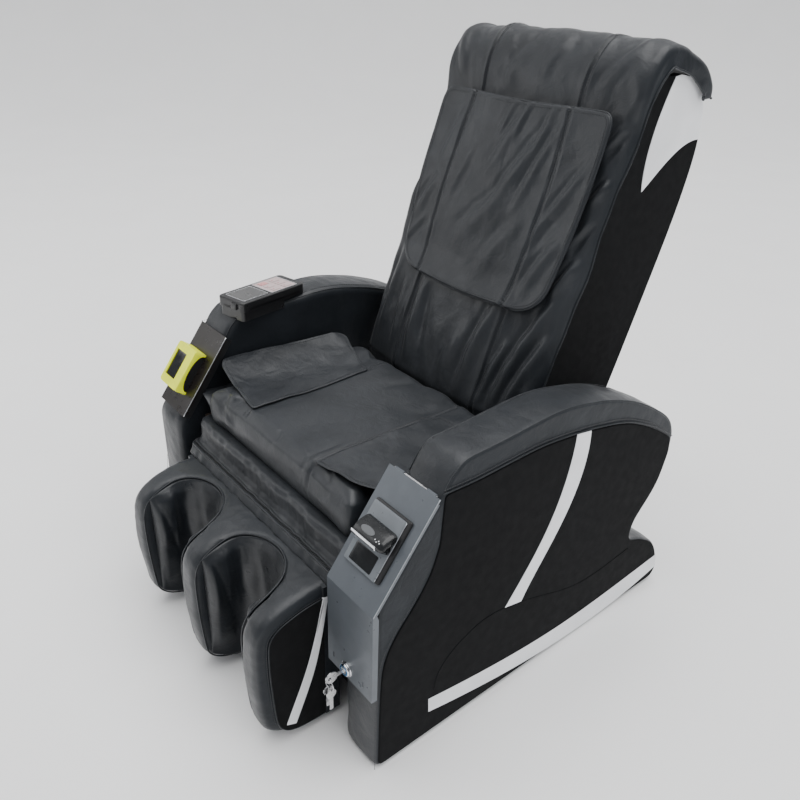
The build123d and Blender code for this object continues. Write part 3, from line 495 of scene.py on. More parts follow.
def yz_place(side=1):
    """A mapping onto a side of the chair: a runs back, b up, h outwards on that side."""
    return lambda a, b, h: (side * h, a, b)


BACK_SIN, BACK_COS = math.sin(math.radians(20)), math.cos(math.radians(20))


def back_place(x, v, w):
    """From the leaning frame of the backrest: v runs up the back, w towards the sitter."""
    return x, 130 + v * BACK_SIN - w * BACK_COS, 300 + v * BACK_COS + w * BACK_SIN


def rod(name, paths, radius, material, body, closed=False):
    """Piping: round cords along smooth paths, as one mesh."""
    points, faces = [], []
    for path in paths:
        p = np.array(path, float)
        ahead = np.roll(p, -1, 0) - np.roll(p, 1, 0)
        if not closed:
            ahead[0], ahead[-1] = p[1] - p[0], p[-1] - p[-2]
        ahead /= np.linalg.norm(ahead, axis=1)[:, None]
        aside = np.cross(ahead, (0.31, 0.17, 0.94))
        aside /= np.linalg.norm(aside, axis=1)[:, None]
        other = np.cross(ahead, aside)
        base = sum(len(x) for x in points)
        ring = [p + radius * (math.cos(t) * aside + math.sin(t) * other)
                for t in np.arange(6) * math.pi / 3]
        points.append(np.stack(ring, axis=1).reshape(-1, 3))
        n = len(p)
        quads = grid_faces(n, 6, True)
        if closed:
            quads += [((n - 1) * 6 + c, (n - 1) * 6 + (c + 1) % 6, (c + 1) % 6, c) for c in range(6)]
        else:
            quads += [tuple(range(6)), tuple(range((n - 1) * 6, n * 6))]
        faces += [tuple(base + k for k in face) for face in quads]
    return make(name, np.vstack(points), faces, material, body)


def stitches(name, paths, body, radius=0.55):
    """Rows of single thread stitches along paths."""
    pitch, length = 5.0, 3.2
    pieces = []
    for path in paths:
        line = even(path, pitch)
        ahead = np.diff(line, axis=0)
        ahead /= np.linalg.norm(ahead, axis=1)[:, None]
        for start, way in zip(line[:-1], ahead):
            pieces.append(np.vstack([start, start + way * length / 2, start + way * length]))
    return rod(name, pieces, radius, thread, body)


def swell(obj, cap):
    """Puff a closed form like stuffed fabric, with a short cloth simulation, and apply it."""
    modified(obj, "REMESH", mode="VOXEL", voxel_size=CLOTH_VOXEL, use_smooth_shade=True)
    before = coords(obj)
    cloth = obj.modifiers.new("cloth", "CLOTH")
    cloth.settings.use_pressure = True
    cloth.settings.uniform_pressure_force = CLOTH_PRESSURE
    cloth.settings.effector_weights.gravity = 0
    cloth.point_cache.frame_start = 1
    cloth.point_cache.frame_end = CLOTH_FRAMES
    for number in range(1, CLOTH_FRAMES + 1):
        bpy.context.scene.frame_set(number)
    apply_modifiers(obj)
    bpy.context.scene.frame_set(1)
    moved = coords(obj) - before
    far = np.linalg.norm(moved, axis=1)[:, None]
    put_coords(obj, before + moved * np.minimum(1, cap / np.maximum(far, 1e-6)))
    return obj


# ---- arms ---------------------------------------------------------------------------------------
ARM_FRONT, ARM_FOOT = -359, 5
SLOPE = math.radians(53.5)
slope_top = (ARM_FRONT + 196.6 * math.cos(SLOPE), 361.8 + 196.6 * math.sin(SLOPE))
band_line = curve([(-245, 524), (-180, 522), (-119, 524), (-32, 526), (56, 518), (120, 508),
                   (201, 489), (275, 457), (330, 425), (372, 398)])
arm_crown = curve([(305, 222), (358, 288), (379, 361), (376, 404), (352, 443), (297, 482), (226, 521),
                   (163, 545), (106, 561), (10, 576), (-125, 569), (-204, 566)])
arm_toe = curve([(425, 5), (438, 34), (409, 106), (356, 148), (305, 172), (297, 193), (305, 222)])
arm_line = np.vstack([[slope_top, (ARM_FRONT, 361.8), (ARM_FRONT, ARM_FOOT)], arm_toe, arm_crown,
                      [(slope_top[0] + 14, 545)]])
arm_outline = soften(even(arm_line, 5, True), 7)
front_edge = curve([(-281, 353), (-308, 318), (-325, 298), (-349, 251), (-356, 181), (-357, 5)])
side_line = np.vstack([band_line, curve([(379, 361), (358, 288), (305, 222)]), arm_toe[::-1],
                       front_edge[::-1], [(-262, 385), (-248, 430), (-245, 500)]])


def inset(outline, distance):
    """A closed line moved towards its inside."""
    p = np.array(outline, float)
    step = np.roll(p, -1, 0) - np.roll(p, 1, 0)
    step /= np.linalg.norm(step, axis=1)[:, None]
    area = np.sum(p[:, 0] * np.roll(p[:, 1], -1) - np.roll(p[:, 0], -1) * p[:, 1])
    return p + np.column_stack([-step[:, 1], step[:, 0]]) * distance * (1 if area > 0 else -1)


arm_waves = wave(3, 90)
arm_ripple = wave(4, 28)


def arm_field(points):
    """Slight unevenness of the padding, stronger on the crown."""
    y, z = points[:, 1], points[:, 2]
    inner = np.clip((372 - np.abs(points[:, 0])) / 20, 0, 1)
    return (0.9 * arm_waves(y + points[:, 0], z) + 0.25 * arm_ripple(y, points[:, 0] + z)) * inner


def round_the_arm(point):
    """Where a point lies along the arm's edge, as an angle about the arm's middle."""
    return math.atan2(point[2] - 240, point[1])


def build_arm(side, name):
    arm = slab(f"{name}_arm", arm_outline, (0, 240), 288.5, 377.2, 17, 6, yz_place(side),
               looks["leather_black"], belly=2.5, rings=26, side=12)
    displace(arm, arm_field)
    if side > 0:
        cut_bay(arm)
    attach(arm, "base")
    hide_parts(f"{name}_arm_pad")
    side_outline = soften(even(inset(soften(even(side_line, 5, True), 3), 3.5), 5, True), 2)
    slab(f"{name}_arm_side", side_outline, (40, 240), 374, 379.35, 1, 2.2, yz_place(side),
         looks["velvet_black"], "base", rings=14, side=2)
    top_rim = [(side * 374.5, y, z) for y, z in even(inset(arm_outline, 1.2), 5, True)
               if z > 392 and y > -240]
    top_rim.sort(key=round_the_arm)
    rod(f"{name}_arm_piping", [top_rim], 1.5, looks["leather_black"], "base")
    low_rim = [(side * 293.3, y, z) for y, z in even(inset(arm_outline, 5.0), 5, True)
               if z > 392 and y > -240]
    low_rim.sort(key=round_the_arm)
    rod(f"{name}_inner_piping", [low_rim], 1.3, looks["leather_black"], "base")
    seam = [(side * 379.3, y, z) for y, z in even(band_line, 5)]
    rod(f"{name}_band_piping", [seam], 1.3, looks["leather_black"], "base")
    above = [(side * 378.9, y, z + 6.5) for y, z in even(band_line, 5) if y < 330]
    wrap = [(side * 379.0, y - 5, z) for y, z in even(front_edge, 5)]
    inner = [(side * 301, y, z - 0.2) for y, z in even(arm_crown, 5) if z > 420]
    stitches(f"{name}_arm_stitches", [above, wrap, inner], "base")
    arch = curve([(-237, 111), (-227, 150), (-187, 187), (-119, 208), (-29, 193), (108, 148),
                  (192, 140), (300, 150)])
    rod(f"{name}_arch_seam", [[(side * 379.4, y, z) for y, z in even(arch, 5)]], 0.8,
        looks["velvet_black"], "base")


def cut_bay(arm):
    """Open the cash bay in the front of the left arm, behind the steel cover."""
    line = [(-379, 185), (-250, 185), (-190, 330), (-190, 470), (-330, 470), (-379, 361.8)]
    points = [(x, y, z) for x in (292, 361) for y, z in line]
    n = len(line)
    faces = [tuple(range(n)), tuple(range(n, 2 * n))]
    faces += [(k, (k + 1) % n, n + (k + 1) % n, n + k) for k in range(n)]
    cutter = make("bay_cutter", points, faces, looks["steel_black"])
    cutter.data.polygons.foreach_set("use_smooth", [False] * len(cutter.data.polygons))
    modified(arm, "BOOLEAN", object=cutter, operation="DIFFERENCE", solver="EXACT")
    arm.data.set_sharp_from_angle(angle=math.radians(50))
    bpy.data.objects.remove(cutter)


build_arm(1, "left")
build_arm(-1, "right")
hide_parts("arm_side_panels")

# ---- backrest -----------------------------------------------------------------------------------
HALF = 235
front_path = np.array([(62, 68), (88, 82), (118, 95), (138, 100), (300, 100), (500, 98),
                       (660, 96), (700, 97)])
top_path = curve([(700, 97), (760, 98), (808, 80), (828, 44), (830, -10), (822, -60), (806, -92),
                  (784, -104)], 8)
cover_path = even(np.vstack([curve(front_path, 8), top_path[1:]]), 6)
TUCK = 62
cover_run = np.r_[0, np.cumsum(np.linalg.norm(np.diff(cover_path, axis=0), axis=1))] - TUCK
cover_waves = wave(11, 120)
cover_small = wave(12, 45)
cover_folds = [
    (-205, 60, -196, 250, 7, 13), (-150, 30, -160, 190, 5, 10), (-92, 20, -104, 205, 9, 13),
    (-60, 60, -84, 190, -4, 10), (20, 10, 44, 150, 6, 22), (70, 10, 96, 215, 8, 14),
    (150, 10, 210, 250, 9, 13), (178, 0, 228, 190, 8, 11), (130, 20, 150, 150, 6, 10),
    (200, 250, 232, 330, 7, 10), (205, 330, 236, 400, -6, 9), (208, 420, 234, 470, 6, 9),
    (206, 500, 238, 560, -6, 10), (-230, 300, -212, 430, 6, 11), (-222, 430, -208, 560, 6, 10),
    (-70, 590, -20, 690, 4, 16), (30, 600, 70, 700, -3, 14), (150, 600, 205, 700, 5, 14),
    (-190, 600, -230, 700, 6, 14), (190, 690, 232, 780, 5, 12), (-228, 690, -200, 780, 6, 12),
]


def cover_surface(q, run):
    """A point of the leather cover: q runs across from hem to hem, run up the front and over the top."""
    along_v = np.interp(run, cover_run, cover_path[:, 0])
    along_w = np.interp(run, cover_run, cover_path[:, 1])
    ahead_v = np.gradient(cover_path[:, 0])
    ahead_w = np.gradient(cover_path[:, 1])
    size = np.hypot(ahead_v, ahead_w)
    nv = np.interp(run, cover_run, -ahead_w / size)
    nw = np.interp(run, cover_run, ahead_v / size)
    over = np.clip((run - 560) / 60, 0, 1)
    over = over * over * (3 - 2 * over)
    corner = 24 - 8 * over
    half = HALF + 3.2 + 6 * over
    flat = half - corner
    bend = corner * math.pi / 2
    x = np.clip(q, -flat, flat)
    past = np.clip(np.abs(q) - flat, 0, None)
    turn = np.clip(past / corner, 0, math.pi / 2)
    x = x + np.sign(q) * corner * np.sin(turn)
    drop = corner * (1 - np.cos(turn)) + np.clip(past - bend, 0, None)
    puffed = 13 * np.clip(1 - ((run - 90) / 210) ** 2, 0, 1)
    puffed = puffed - 7 * np.clip((run - 330) / 250, 0, 1) * (1 - over)
    crowned = (1 - (q / flat) ** 2) * (np.abs(q) < flat)
    height = crowned * (puffed + 6)
    height = height + folds(q, run, cover_folds) * (1 - 0.3 * over)
    height = height + 1.6 * cover_waves(q, run) + 0.6 * cover_small(q, run * 0.6)
    seam_x = 119 + 4 * np.sin(run / 90)
    for s in (-1, 1):
        height = height + groove(q - s * seam_x, 4.5, 2.3, 3.0) * (np.abs(q) < flat)
    sway = 1.6 * np.sin(run / 37 + np.sign(q)) + 0.8 * np.sin(run / 15)
    x = x + np.sign(q) * np.clip(past - bend, 0, 30) / 30 * (2.0 + np.clip(sway, -1.2, 4))
    lift = height * np.cos(turn)
    x = x + np.sign(q) * np.clip(height, -1.0, 9) * np.sin(turn)
    v = along_v + nv * (lift - drop)
    w = along_w + nw * (lift - drop)
    return x, v, w


def hem(run, side):
    """Length of the cover's edge that hangs down each side, along its run."""
    wavy = 2.0 * np.sin(run / 41 + side) + 1.0 * np.sin(run / 17 + 2 * side)
    low = np.interp(run, [0, 60, 140, 300, 520, 590, 660, 740, 800, 900],
                    [14, 22, 30, 31, 29, 34, 46, 50, 48, 52])
    return low + wavy


def build_cover():
    rows = len(cover_run)
    columns = 150
    share = np.linspace(-1, 1, columns)
    share = np.sign(share) * (1 - (1 - np.abs(share)) ** 1.15)
    run = np.repeat(cover_run[:, None], columns, 1)
    reach = HALF + 3 + np.where(share > 0, hem(run, 1), hem(run, -1)) - 12
    q = share[None, :] * reach
    x, v, w = cover_surface(q, run)
    points = np.stack(back_place(x, v, w), axis=-1)
    cover = make("back_cover", points, grid_faces(rows, columns), fold_leather)
    cover = modified(cover, "SOLIDIFY", thickness=0.004, offset=-1)
    modified(cover, "SUBSURF", levels=1, render_levels=1)
    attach(cover, "backrest")
    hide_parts("back_cushion", "top_drape")
    lines = []
    for s in (-1, 1):
        edge_run = cover_run
        reach = HALF + 3 + hem(edge_run, s) - 12
        ex, ev, ew = cover_surface(s * reach, edge_run)
        lines.append(np.column_stack(back_place(ex + s * 0.5, ev, ew)))
    ex, ev, ew = cover_surface(np.linspace(-HALF - 10, HALF + 10, 90), np.full(90, cover_run[-1]))
    lines.append(np.column_stack(back_place(ex, ev, ew)))
    rod("cover_hem", lines, 2.2, looks["leather_black"], "backrest")
    rows_of = []
    for s in (-1, 1):
        for away in (-4.5, 4.5):
            seam_run = np.linspace(12, cover_run[-1] - 20, 300)
            seam_q = s * (119 + 4 * np.sin(seam_run / 90)) + away
            ex, ev, ew = cover_surface(seam_q, seam_run)
            rows_of.append(np.column_stack(back_place(ex, ev, ew + 0.3)))
    stitches("cover_stitches", rows_of, "backrest", radius=0.45)
    return cover


build_cover()

# Head flap: a quilted pad hanging over the cover, free at its rounded lower corners.
flap_folds = [
    (-40, 520, 30, 690, 5, 14), (0, 470, 90, 660, 6, 14), (60, 480, 110, 660, 5, 10),
    (-95, 440, -60, 600, -4, 16), (-60, 400, 40, 520, 7, 20), (20, 350, 90, 480, 5, 18),
    (140, 350, 192, 470, 6, 12), (128, 420, 188, 540, -5, 12), (150, 500, 196, 600, 5, 10),
    (-190, 420, -150, 520, 5, 11), (-188, 360, -140, 430, -4, 11), (-30, 600, -10, 690, 3, 8),
    (20, 610, 40, 690, -3, 8), (70, 600, 84, 690, 3, 7), (-160, 540, -130, 650, 4, 12),
]
flap_small = wave(21, 60)


def flap_place(a, b, h):
    """The pad follows the cover: pulled in at the top, standing off it at the sides and bottom."""
    lift = 3 * np.clip((b - 600) / 90, 0, 1) + 9 * np.clip((380 - b) / 60, 0, 1) ** 1.5
    lift = lift + 5 * np.clip((np.abs(a) - 150) / 55, 0, 1) ** 2
    sag = 8 * (1 - (a / 205) ** 2) * np.clip(1 - np.abs(b - 470) / 300, 0, 1)
    return back_place(a, b, h + lift + sag)


def flap_field(points):
    y, z = points[:, 1] - 130, points[:, 2] - 300
    v = y * BACK_SIN + z * BACK_COS
    x = points[:, 0]
    side_seam = 118 + 10 * np.cos((v - 500) / 120)
    height = 0.6 * folds(x, v, flap_folds) + 0.45 * flap_small(x, v)
    for s in (-1, 1):
        height = height + groove(x - s * side_seam, 3.2, 2.6, 1.6)
    return height


def build_flap():
    w2, corner = 203, 62
    low, high = 322, 690
    line = [(-w2, high - 30), (-w2 + 6, high - 8), (-w2 + 30, high - 1), (0, high - 6), (w2 - 24, high - 1),
            (w2 + 2, high - 8), (w2 + 9, high - 30), (w2 + 10, 520), (w2 + 2, 400)]
    for k in range(6):
        t = k / 5 * math.pi / 2
        line.append((w2 - corner + corner * math.cos(t), low + corner - corner * math.sin(t)))
    line.append((0, low - 8))
    for k in range(6):
        t = math.pi / 2 - k / 5 * math.pi / 2
        line.append((-w2 + 10 + corner - corner * math.cos(t), low + corner - corner * math.sin(t)))
    line += [(-w2 + 8, 400), (-w2 - 2, 520)]
    outline = soften(even(curve(line + line[:1], 5), 5, True), 6)
    pad = slab("head_pad", outline, (0, 505), 103, 113, 4.5, 4.5, flap_place, fold_leather,
               rings=60, side=2)
    displace(pad, flap_field)
    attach(pad, "backrest")
    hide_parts("head_flap")
    edge = np.column_stack(flap_place(outline[:, 0], outline[:, 1], np.full(len(outline), 109.5)))
    rod("head_pad_piping", [edge], 1.7, looks["leather_black"], "backrest", closed=True)
    near = inset(outline, 7.5)
    hem_line = np.column_stack(flap_place(near[:, 0], near[:, 1], np.full(len(near), 113.6)))
    v = np.linspace(330, 682, 120)
    x = 118 + 10 * np.cos((v - 500) / 120)
    rows_of = [hem_line]
    for s in (-1, 1):
        for away in (-3.5, 3.5):
            a = s * x + away
            lines = np.column_stack(flap_place(a, v, np.full(120, 113.2)))
            fields = 0.6 * folds(a, v, flap_folds) + 0.45 * flap_small(a, v)
            rows_of.append(lines + fields[:, None] * np.array((0, -BACK_COS, BACK_SIN)))
    stitches("head_pad_stitches", rows_of, "backrest", radius=0.5)


build_flap()

# ---- seat ---------------------------------------------------------------------------------------
seat_waves = wave(31, 150)
seat_small = wave(32, 50)
seat_folds = [
    (-150, -325, -190, -250, 2, 14), (-20, 70, -60, -20, 3, 22), (60, 70, 90, -40, 3, 18),
    (-200, 70, -150, -60, 3, 20), (190, 70, 150, -30, 3, 20), (102, -325, 104, -200, 2, 9),
]


def seat_field(points):
    """The seam near the left edge, a few folds, and the unevenness of a used cushion."""
    x, y, z = points.T
    run = y - np.clip(445 - z, 0, 80)
    top = np.clip((z - 380) / 30, 0, 1)
    height = 1.8 * seat_waves(x, run) + 0.4 * seat_small(x, run) + folds(x, y, seat_folds) * top
    inside = (np.abs(x) < 240) * (y < 60)
    height = height + groove(x - 113, 2.4, 2.4, 0.9) * inside * top
    return height * top


def build_seat():
    line = [(-243, -316), (243, -316), (243, 72), (-243, 72)]
    outline = soften(even(line, 6, True), 9)
    cushion = slab("seat_cushion_soft", outline, (0, -120), 374, 446, 8, 13,
                   lambda a, b, h: (a, b, h), looks["leather_black"], belly=4, rings=44, side=8)
    swell(cushion, 10)
    modified(cushion, "SUBSURF", levels=1, render_levels=1)
    points = coords(cushion)
    points[:, 2] = np.clip(points[:, 2], 373.2, 455)
    points[:, 0] = np.clip(points[:, 0], -286, 286)
    put_coords(cushion, points)
    displace(cushion, seat_field)
    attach(cushion, "base")
    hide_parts("seat_cushion")
    return cushion


seat = build_seat()


def on_seat(x, y):
    """Height of the cushion's top at a place."""
    hit = seat_tree.ray_cast(Vector((x * MM, y * MM, 0.6)), Vector((0, 0, -1)))
    return hit[0].z / MM if hit[0] else 449


seat_tree = BVHTree.FromObject(seat, bpy.context.evaluated_depsgraph_get())
rows_of = []
for s in (-1, 1):
    for away in (-4.5, 4.5):
        path = [(s * 113 + away, y, on_seat(s * 113 + away, y) + 0.3) for y in range(-300, 60, 5)]
        rows_of.append(path)
stitches("seat_stitches", rows_of, "base", radius=0.5)


def build_hip_flap(side, name, outline, lift):
    """A loose leather flap, doubled and stitched round its edge, that lies on the seat."""
    outline = soften(even(outline, 4, True), 3)

    def place(a, b, h):
        ground = np.array([on_seat(side * min(x, 205), max(y, -278)) for x, y in zip(a, b)])
        return side * a, b, ground + lift(a, b) + h

    flap = slab(f"{name}_hip_flap", outline, outline.mean(0), 0.8, 3.4, 1.1, 1.2, place, fold_leather,
                rings=22, side=2)
    ripple = wave(40 + side, 70)
    displace(flap, lambda p: 0.5 * ripple(p[:, 0], p[:, 1]))
    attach(flap, "base")
    near = inset(outline, 6)
    rim = np.column_stack(place(near[:, 0], near[:, 1], np.full(len(near), 3.8)))
    stitches(f"{name}_flap_stitches", [rim], "base", radius=0.5)
    edge = np.column_stack(place(outline[:, 0], outline[:, 1], np.full(len(outline), 2.1)))
    rod(f"{name}_flap_piping", [edge], 1.1, looks["leather_black"], "base", closed=True)
    return flap


def far_lift(a, b):
    rise = np.clip((a - 150) / 120, 0, 1) ** 1.5 * np.interp(b, (-260, -120, 0, 30), (30, 25, 36, 28))
    edge = 2.5 * np.exp(-(((a - 112) / 50) ** 2 + ((b + 250) / 60) ** 2))
    return edge + rise + 2.0 * np.sin(b / 47 + a / 60) * np.clip((a - 120) / 60, 0, 1)


def near_lift(a, b):
    rise = np.clip((a - 200) / 84, 0, 1) ** 1.4 * np.interp(b, (-280, -60, 10, 60), (24, 16, 4, -20))
    edge = 9 * np.exp(-((b + 285) / 30) ** 2) * np.clip((a - 122) / 50, 0, 1)
    return edge + rise + 0.8 * (1 + np.sin(b / 41))


far_edge = [(103, -285), (190, -274), (258, -266), (275, -254), (277, -235), (266, -120), (254, -6),
            (247, 18), (236, 25), (202, 13), (107, -13), (104, -150)]
near_edge = [(112, -291), (206, -282), (262, -276), (284, -262), (286, 60), (240, 30), (200, -14),
             (126, -20), (114, -60)]
far_flap = build_hip_flap(-1, "far", far_edge, far_lift)
build_hip_flap(1, "near", near_edge, near_lift)
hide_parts("hip_flaps")

# ---- leg rest -----------------------------------------------------------------------------------
leg_top = curve([(-336, 314), (-370, 314), (-408, 311), (-457, 297), (-484, 277), (-495, 252)])
leg_front = curve([(-495, 252), (-496.5, 221), (-496, 170), (-492, 98), (-488, 59)])
leg_toe = curve([(-488, 59), (-474, 41), (-455, 28), (-431, 20), (-382, 16)])
leg_line = np.vstack([leg_top, leg_front, leg_toe, [(-338, 16)]])
leg_profile = soften(even(leg_line, 5, True), 4)
WELL_MID, WELL_HALF, ARC_Y, LINER_GAP = 108.5, 80.5, -436, 2.6


def leg_z(y, top=True):
    """Height of the leg rest's top or bottom edge at a depth."""
    line = leg_top[::-1] if top else np.vstack([leg_front[-1:], leg_toe, [(-336, 16)]])
    return np.interp(y, line[:, 0], line[:, 1])


def arc_y(x):
    """Rear edge of a calf well at a place across it."""
    off = np.clip(np.abs(np.abs(x) - WELL_MID) / WELL_HALF, 0, 1)
    return ARC_Y + 66 * np.sqrt(1 - off ** 2)


def build_leg_body():
    """Fins and deck in one padded form, merged by a voxel remesh so the leather runs on between them."""
    fins = [slab("fin", leg_profile, (-420, 165), a, b, r, r, yz_place(), looks["leather_black"],
                 rings=3, side=4) for a, b, r in ((-239.5, -190, 13), (-28, 28, 15), (190, 239.5, 13))]
    blocks = []
    across, deep, rear = 41, 11, -337
    size = across * deep
    for mid in (-WELL_MID, WELL_MID):
        xs = mid + np.linspace(-WELL_HALF - 10, WELL_HALF + 10, across)
        front = [(x, arc_y(x)) for x in xs]
        rows = [[(x, y0 + (rear - y0) * k / (deep - 1)) for k in range(deep)] for x, y0 in front]
        top = np.array([(x, y, leg_z(y) - 0.5) for row in rows for x, y in row])
        bottom = np.array([(x, y, 17) for row in rows for x, y in row])
        points = np.vstack([top, bottom])
        faces = grid_faces(across, deep)
        faces += [tuple(size + k for k in face) for face in grid_faces(across, deep)]
        rim = [r * deep for r in range(across)] + [(across - 1) * deep + c for c in range(1, deep)]
        rim += [r * deep + deep - 1 for r in range(across - 2, -1, -1)] + list(range(deep - 2, 0, -1))
        faces += [(here, after, size + after, size + here) for here, after in zip(rim, rim[1:] + rim[:1])]
        blocks.append(make("block", points, faces, looks["leather_black"]))
    body = fins[0]
    for other in fins[1:] + blocks:
        work = bmesh.new()
        work.from_mesh(body.data)
        work.from_mesh(other.data)
        work.to_mesh(body.data)
        work.free()
        bpy.data.objects.remove(other)
    body.name = "leg_body"
    modified(body, "REMESH", mode="VOXEL", voxel_size=0.004, use_smooth_shade=True)
    modified(body, "SMOOTH", iterations=14, factor=0.5)
    ripple, small = wave(51, 110), wave(52, 36)
    displace(body, lambda p: (0.8 * ripple(p[:, 0] + p[:, 2], p[:, 1])
                              + 0.2 * small(p[:, 0], p[:, 1] + p[:, 2])))
    dressed(body, looks["leather_black"])
    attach(body, "leg_rest")
    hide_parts("leg_rest_fins")
    return body


build_leg_body()


def well_path():
    """Plan of a well's wall, from the front of its inner side round the back to its outer side."""
    left = [(-WELL_HALF, y) for y in np.linspace(-476, ARC_Y, 14)[:-1]]
    arc = [(WELL_HALF * -math.cos(t), ARC_Y + 66 * math.sin(t)) for t in np.linspace(0, math.pi, 31)]
    right = [(WELL_HALF, y) for y in np.linspace(ARC_Y, -476, 14)[1:]]
    return np.array(left + arc + right)


def build_liner(mid, name, seed):
    """The glossy gathered lining of a calf well, with pleats that fan down its sides."""
    plan = well_path()
    step = np.gradient(plan, axis=0)
    step /= np.linalg.norm(step, axis=1)[:, None]
    inward = np.column_stack([step[:, 1], -step[:, 0]])
    inward *= np.where(np.sum(inward * (np.array((0, -470)) - plan), axis=1) < 0, -1, 1)[:, None]
    depth = 44
    rows = []
    length = np.r_[0, np.cumsum(np.linalg.norm(np.diff(plan, axis=0), axis=1))]
    share = length / length[-1]
    rng = wave(seed, 60)
    for k in range(depth + 1):
        t = k / depth
        low = leg_z(plan[:, 1], False) + 12
        high = leg_z(plan[:, 1]) - 5
        z = high + (low - high) * t
        side = np.clip((-plan[:, 1] - 405) / 30, 0, 1)
        fan = share * length[-1] + 60 * t * np.sign(share - 0.5)
        pleat = np.abs(np.sin(fan / 17 + 0.6 * np.sin(fan / 41 + seed))) ** 0.7
        swell_in = 17 * math.sin(math.pi * min(1, t * 1.05) ** 0.6) * (0.45 + 0.55 * side)
        gather = (5.5 * (1 - t) ** 1.4 * side + 1.8) * pleat
        rim = np.clip(t / 0.06, 0, 1)
        depth_share = np.clip((-plan[:, 1] - 366) / 20, 0.6, 1)
        off = LINER_GAP + rim * (swell_in + gather + 1.0 + 1.4 * rng(fan, z)) * depth_share
        front = np.clip((476 + plan[:, 1]) / 14, 0, 1)
        off = np.where(np.abs(plan[:, 0]) > WELL_HALF - 1, off * np.sqrt(front), off)
        xy = plan + inward * off[:, None]
        rows.append(np.column_stack([mid + xy[:, 0], xy[:, 1], z]))
    liner = make(name, np.vstack(rows), grid_faces(depth + 1, len(plan)), liner_leather)
    modified(liner, "SOLIDIFY", thickness=0.003, offset=1)
    modified(liner, "SUBSURF", levels=1, render_levels=1)
    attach(liner, "leg_rest")
    return liner


liners = [build_liner(s * WELL_MID, f"{name}_calf_liner", seed)
          for s, name, seed in ((1, "near", 61), (-1, "far", 62))]
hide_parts("calf_pads")
stripe_line = even(np.vstack([curve([(-367, 292), (-385, 213), (-407, 142), (-447, 47)]),
                              curve([(-428, 38), (-391, 131), (-372, 205), (-357, 290)])]), 5, True)
for s, name in ((1, "near"), (-1, "far")):
    stripe = slab(f"{name}_leg_stripe", stripe_line, stripe_line.mean(0), 239, 242.8, 0.3, 0.5, yz_place(s),
                  looks["leather_white"], "leg_rest", rings=2, side=2)
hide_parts("leg_stripes")


def well_rim(mid, off=0.0):
    """The piped edge of a well, over both fins and round the back."""
    wall = [(y, z) for y, z in even(np.vstack([leg_top, leg_front, leg_toe[:20]]), 5) if y < ARC_Y]
    wall = inset_open(wall, 5.5)
    left = [(mid - WELL_HALF - off, y, z) for y, z in wall][::-1]
    arc = [(mid - WELL_HALF * math.cos(t), ARC_Y + 66 * math.sin(t) + off,
            leg_z(ARC_Y + 66 * math.sin(t)) - 1.5) for t in np.linspace(0.04, math.pi - 0.04, 36)]
    right = [(mid + WELL_HALF + off, y, z) for y, z in wall]
    return soften_open(left + arc + right, 6)


def inset_open(line, distance):
    """An open line on the leg rest's side, moved towards the middle of that side."""
    p = np.array(line, float)
    step = np.gradient(p, axis=0)
    step /= np.linalg.norm(step, axis=1)[:, None]
    inward = np.column_stack([-step[:, 1], step[:, 0]])
    middle = np.array((-420, 165))
    inward *= np.where(np.sum(inward * (middle - p), axis=1) < 0, -1, 1)[:, None]
    return (p + inward * distance).tolist()


def soften_open(line, times):
    """Round the corners of an open line, with its ends held."""
    p = np.array(line, float)
    for _ in range(times):
        p[1:-1] = 0.5 * p[1:-1] + 0.25 * (p[:-2] + p[2:])
    return p


rod("well_piping", [well_rim(s * WELL_MID, 1.0) for s in (-1, 1)], 1.5, looks["leather_black"], "leg_rest")
outer = [(y, z) for y, z in even(leg_line[:-1], 5)]
for s, name in ((1, "near"), (-1, "far")):
    band_line_leg = [(y, z) for y, z in inset_open(even(np.vstack([leg_top, leg_front, leg_toe]), 5), 25)
                     if z > 66 and y < -350]
    velvet_line = [(-340, 296), *band_line_leg, (-458, 46), (-443, 30), (-420, 22), (-382, 19), (-340, 19)]
    velvet_line = soften(even(velvet_line, 5, True), 3)
    slab(f"{name}_leg_side", velvet_line, (-410, 165), 238, 241.7, 0.6, 1.2, yz_place(s),
         looks["velvet_black"], "leg_rest", rings=8, side=2)
    seam = [(s * 241.2, y, z) for y, z in velvet_line]
    rod(f"{name}_leg_side_piping", [seam], 1.2, looks["leather_black"], "leg_rest", closed=True)
    row = [(s * 240.6, y, z) for y, z in inset_open(outer, 21) if y < -350]
    stitches(f"{name}_leg_stitches", [row], "leg_rest", radius=0.45)

# ---- apron between the seat and the leg rest ----------------------------------------------------
apron_waves, apron_small = wave(71, 130), wave(72, 34)


def apron_point(x, t):
    """t runs from under the seat cushion, over the bulge, to the leg rest's edge."""
    line = np.array([(-296, 377), (-313, 381), (-324, 380), (-329, 370), (-329, 357), (-330, 345),
                     (-334, 336), (-339, 331), (-345, 331), (-351, 327), (-355, 320), (-358, 314)])
    k = t * (len(line) - 1)
    y = np.interp(k, range(len(line)), line[:, 0])
    z = np.interp(k, range(len(line)), line[:, 1])
    bulge = np.sin(math.pi * np.clip((t - 0.12) / 0.44, 0, 1))
    pucker = np.sin(x / 9 + 1.5 * apron_waves(x, 0 * x)) * np.exp(-((t - 0.66) / 0.15) ** 2)
    off = 2.5 * apron_waves(x, t * 40) * bulge + 0.8 * apron_small(x, t * 40) + 0.9 * pucker
    tuck = 16 * np.clip((np.abs(x) - 246) / 18, 0, 1) ** 2
    return x, y - off + tuck, z + 0.5 * off - 0.3 * tuck


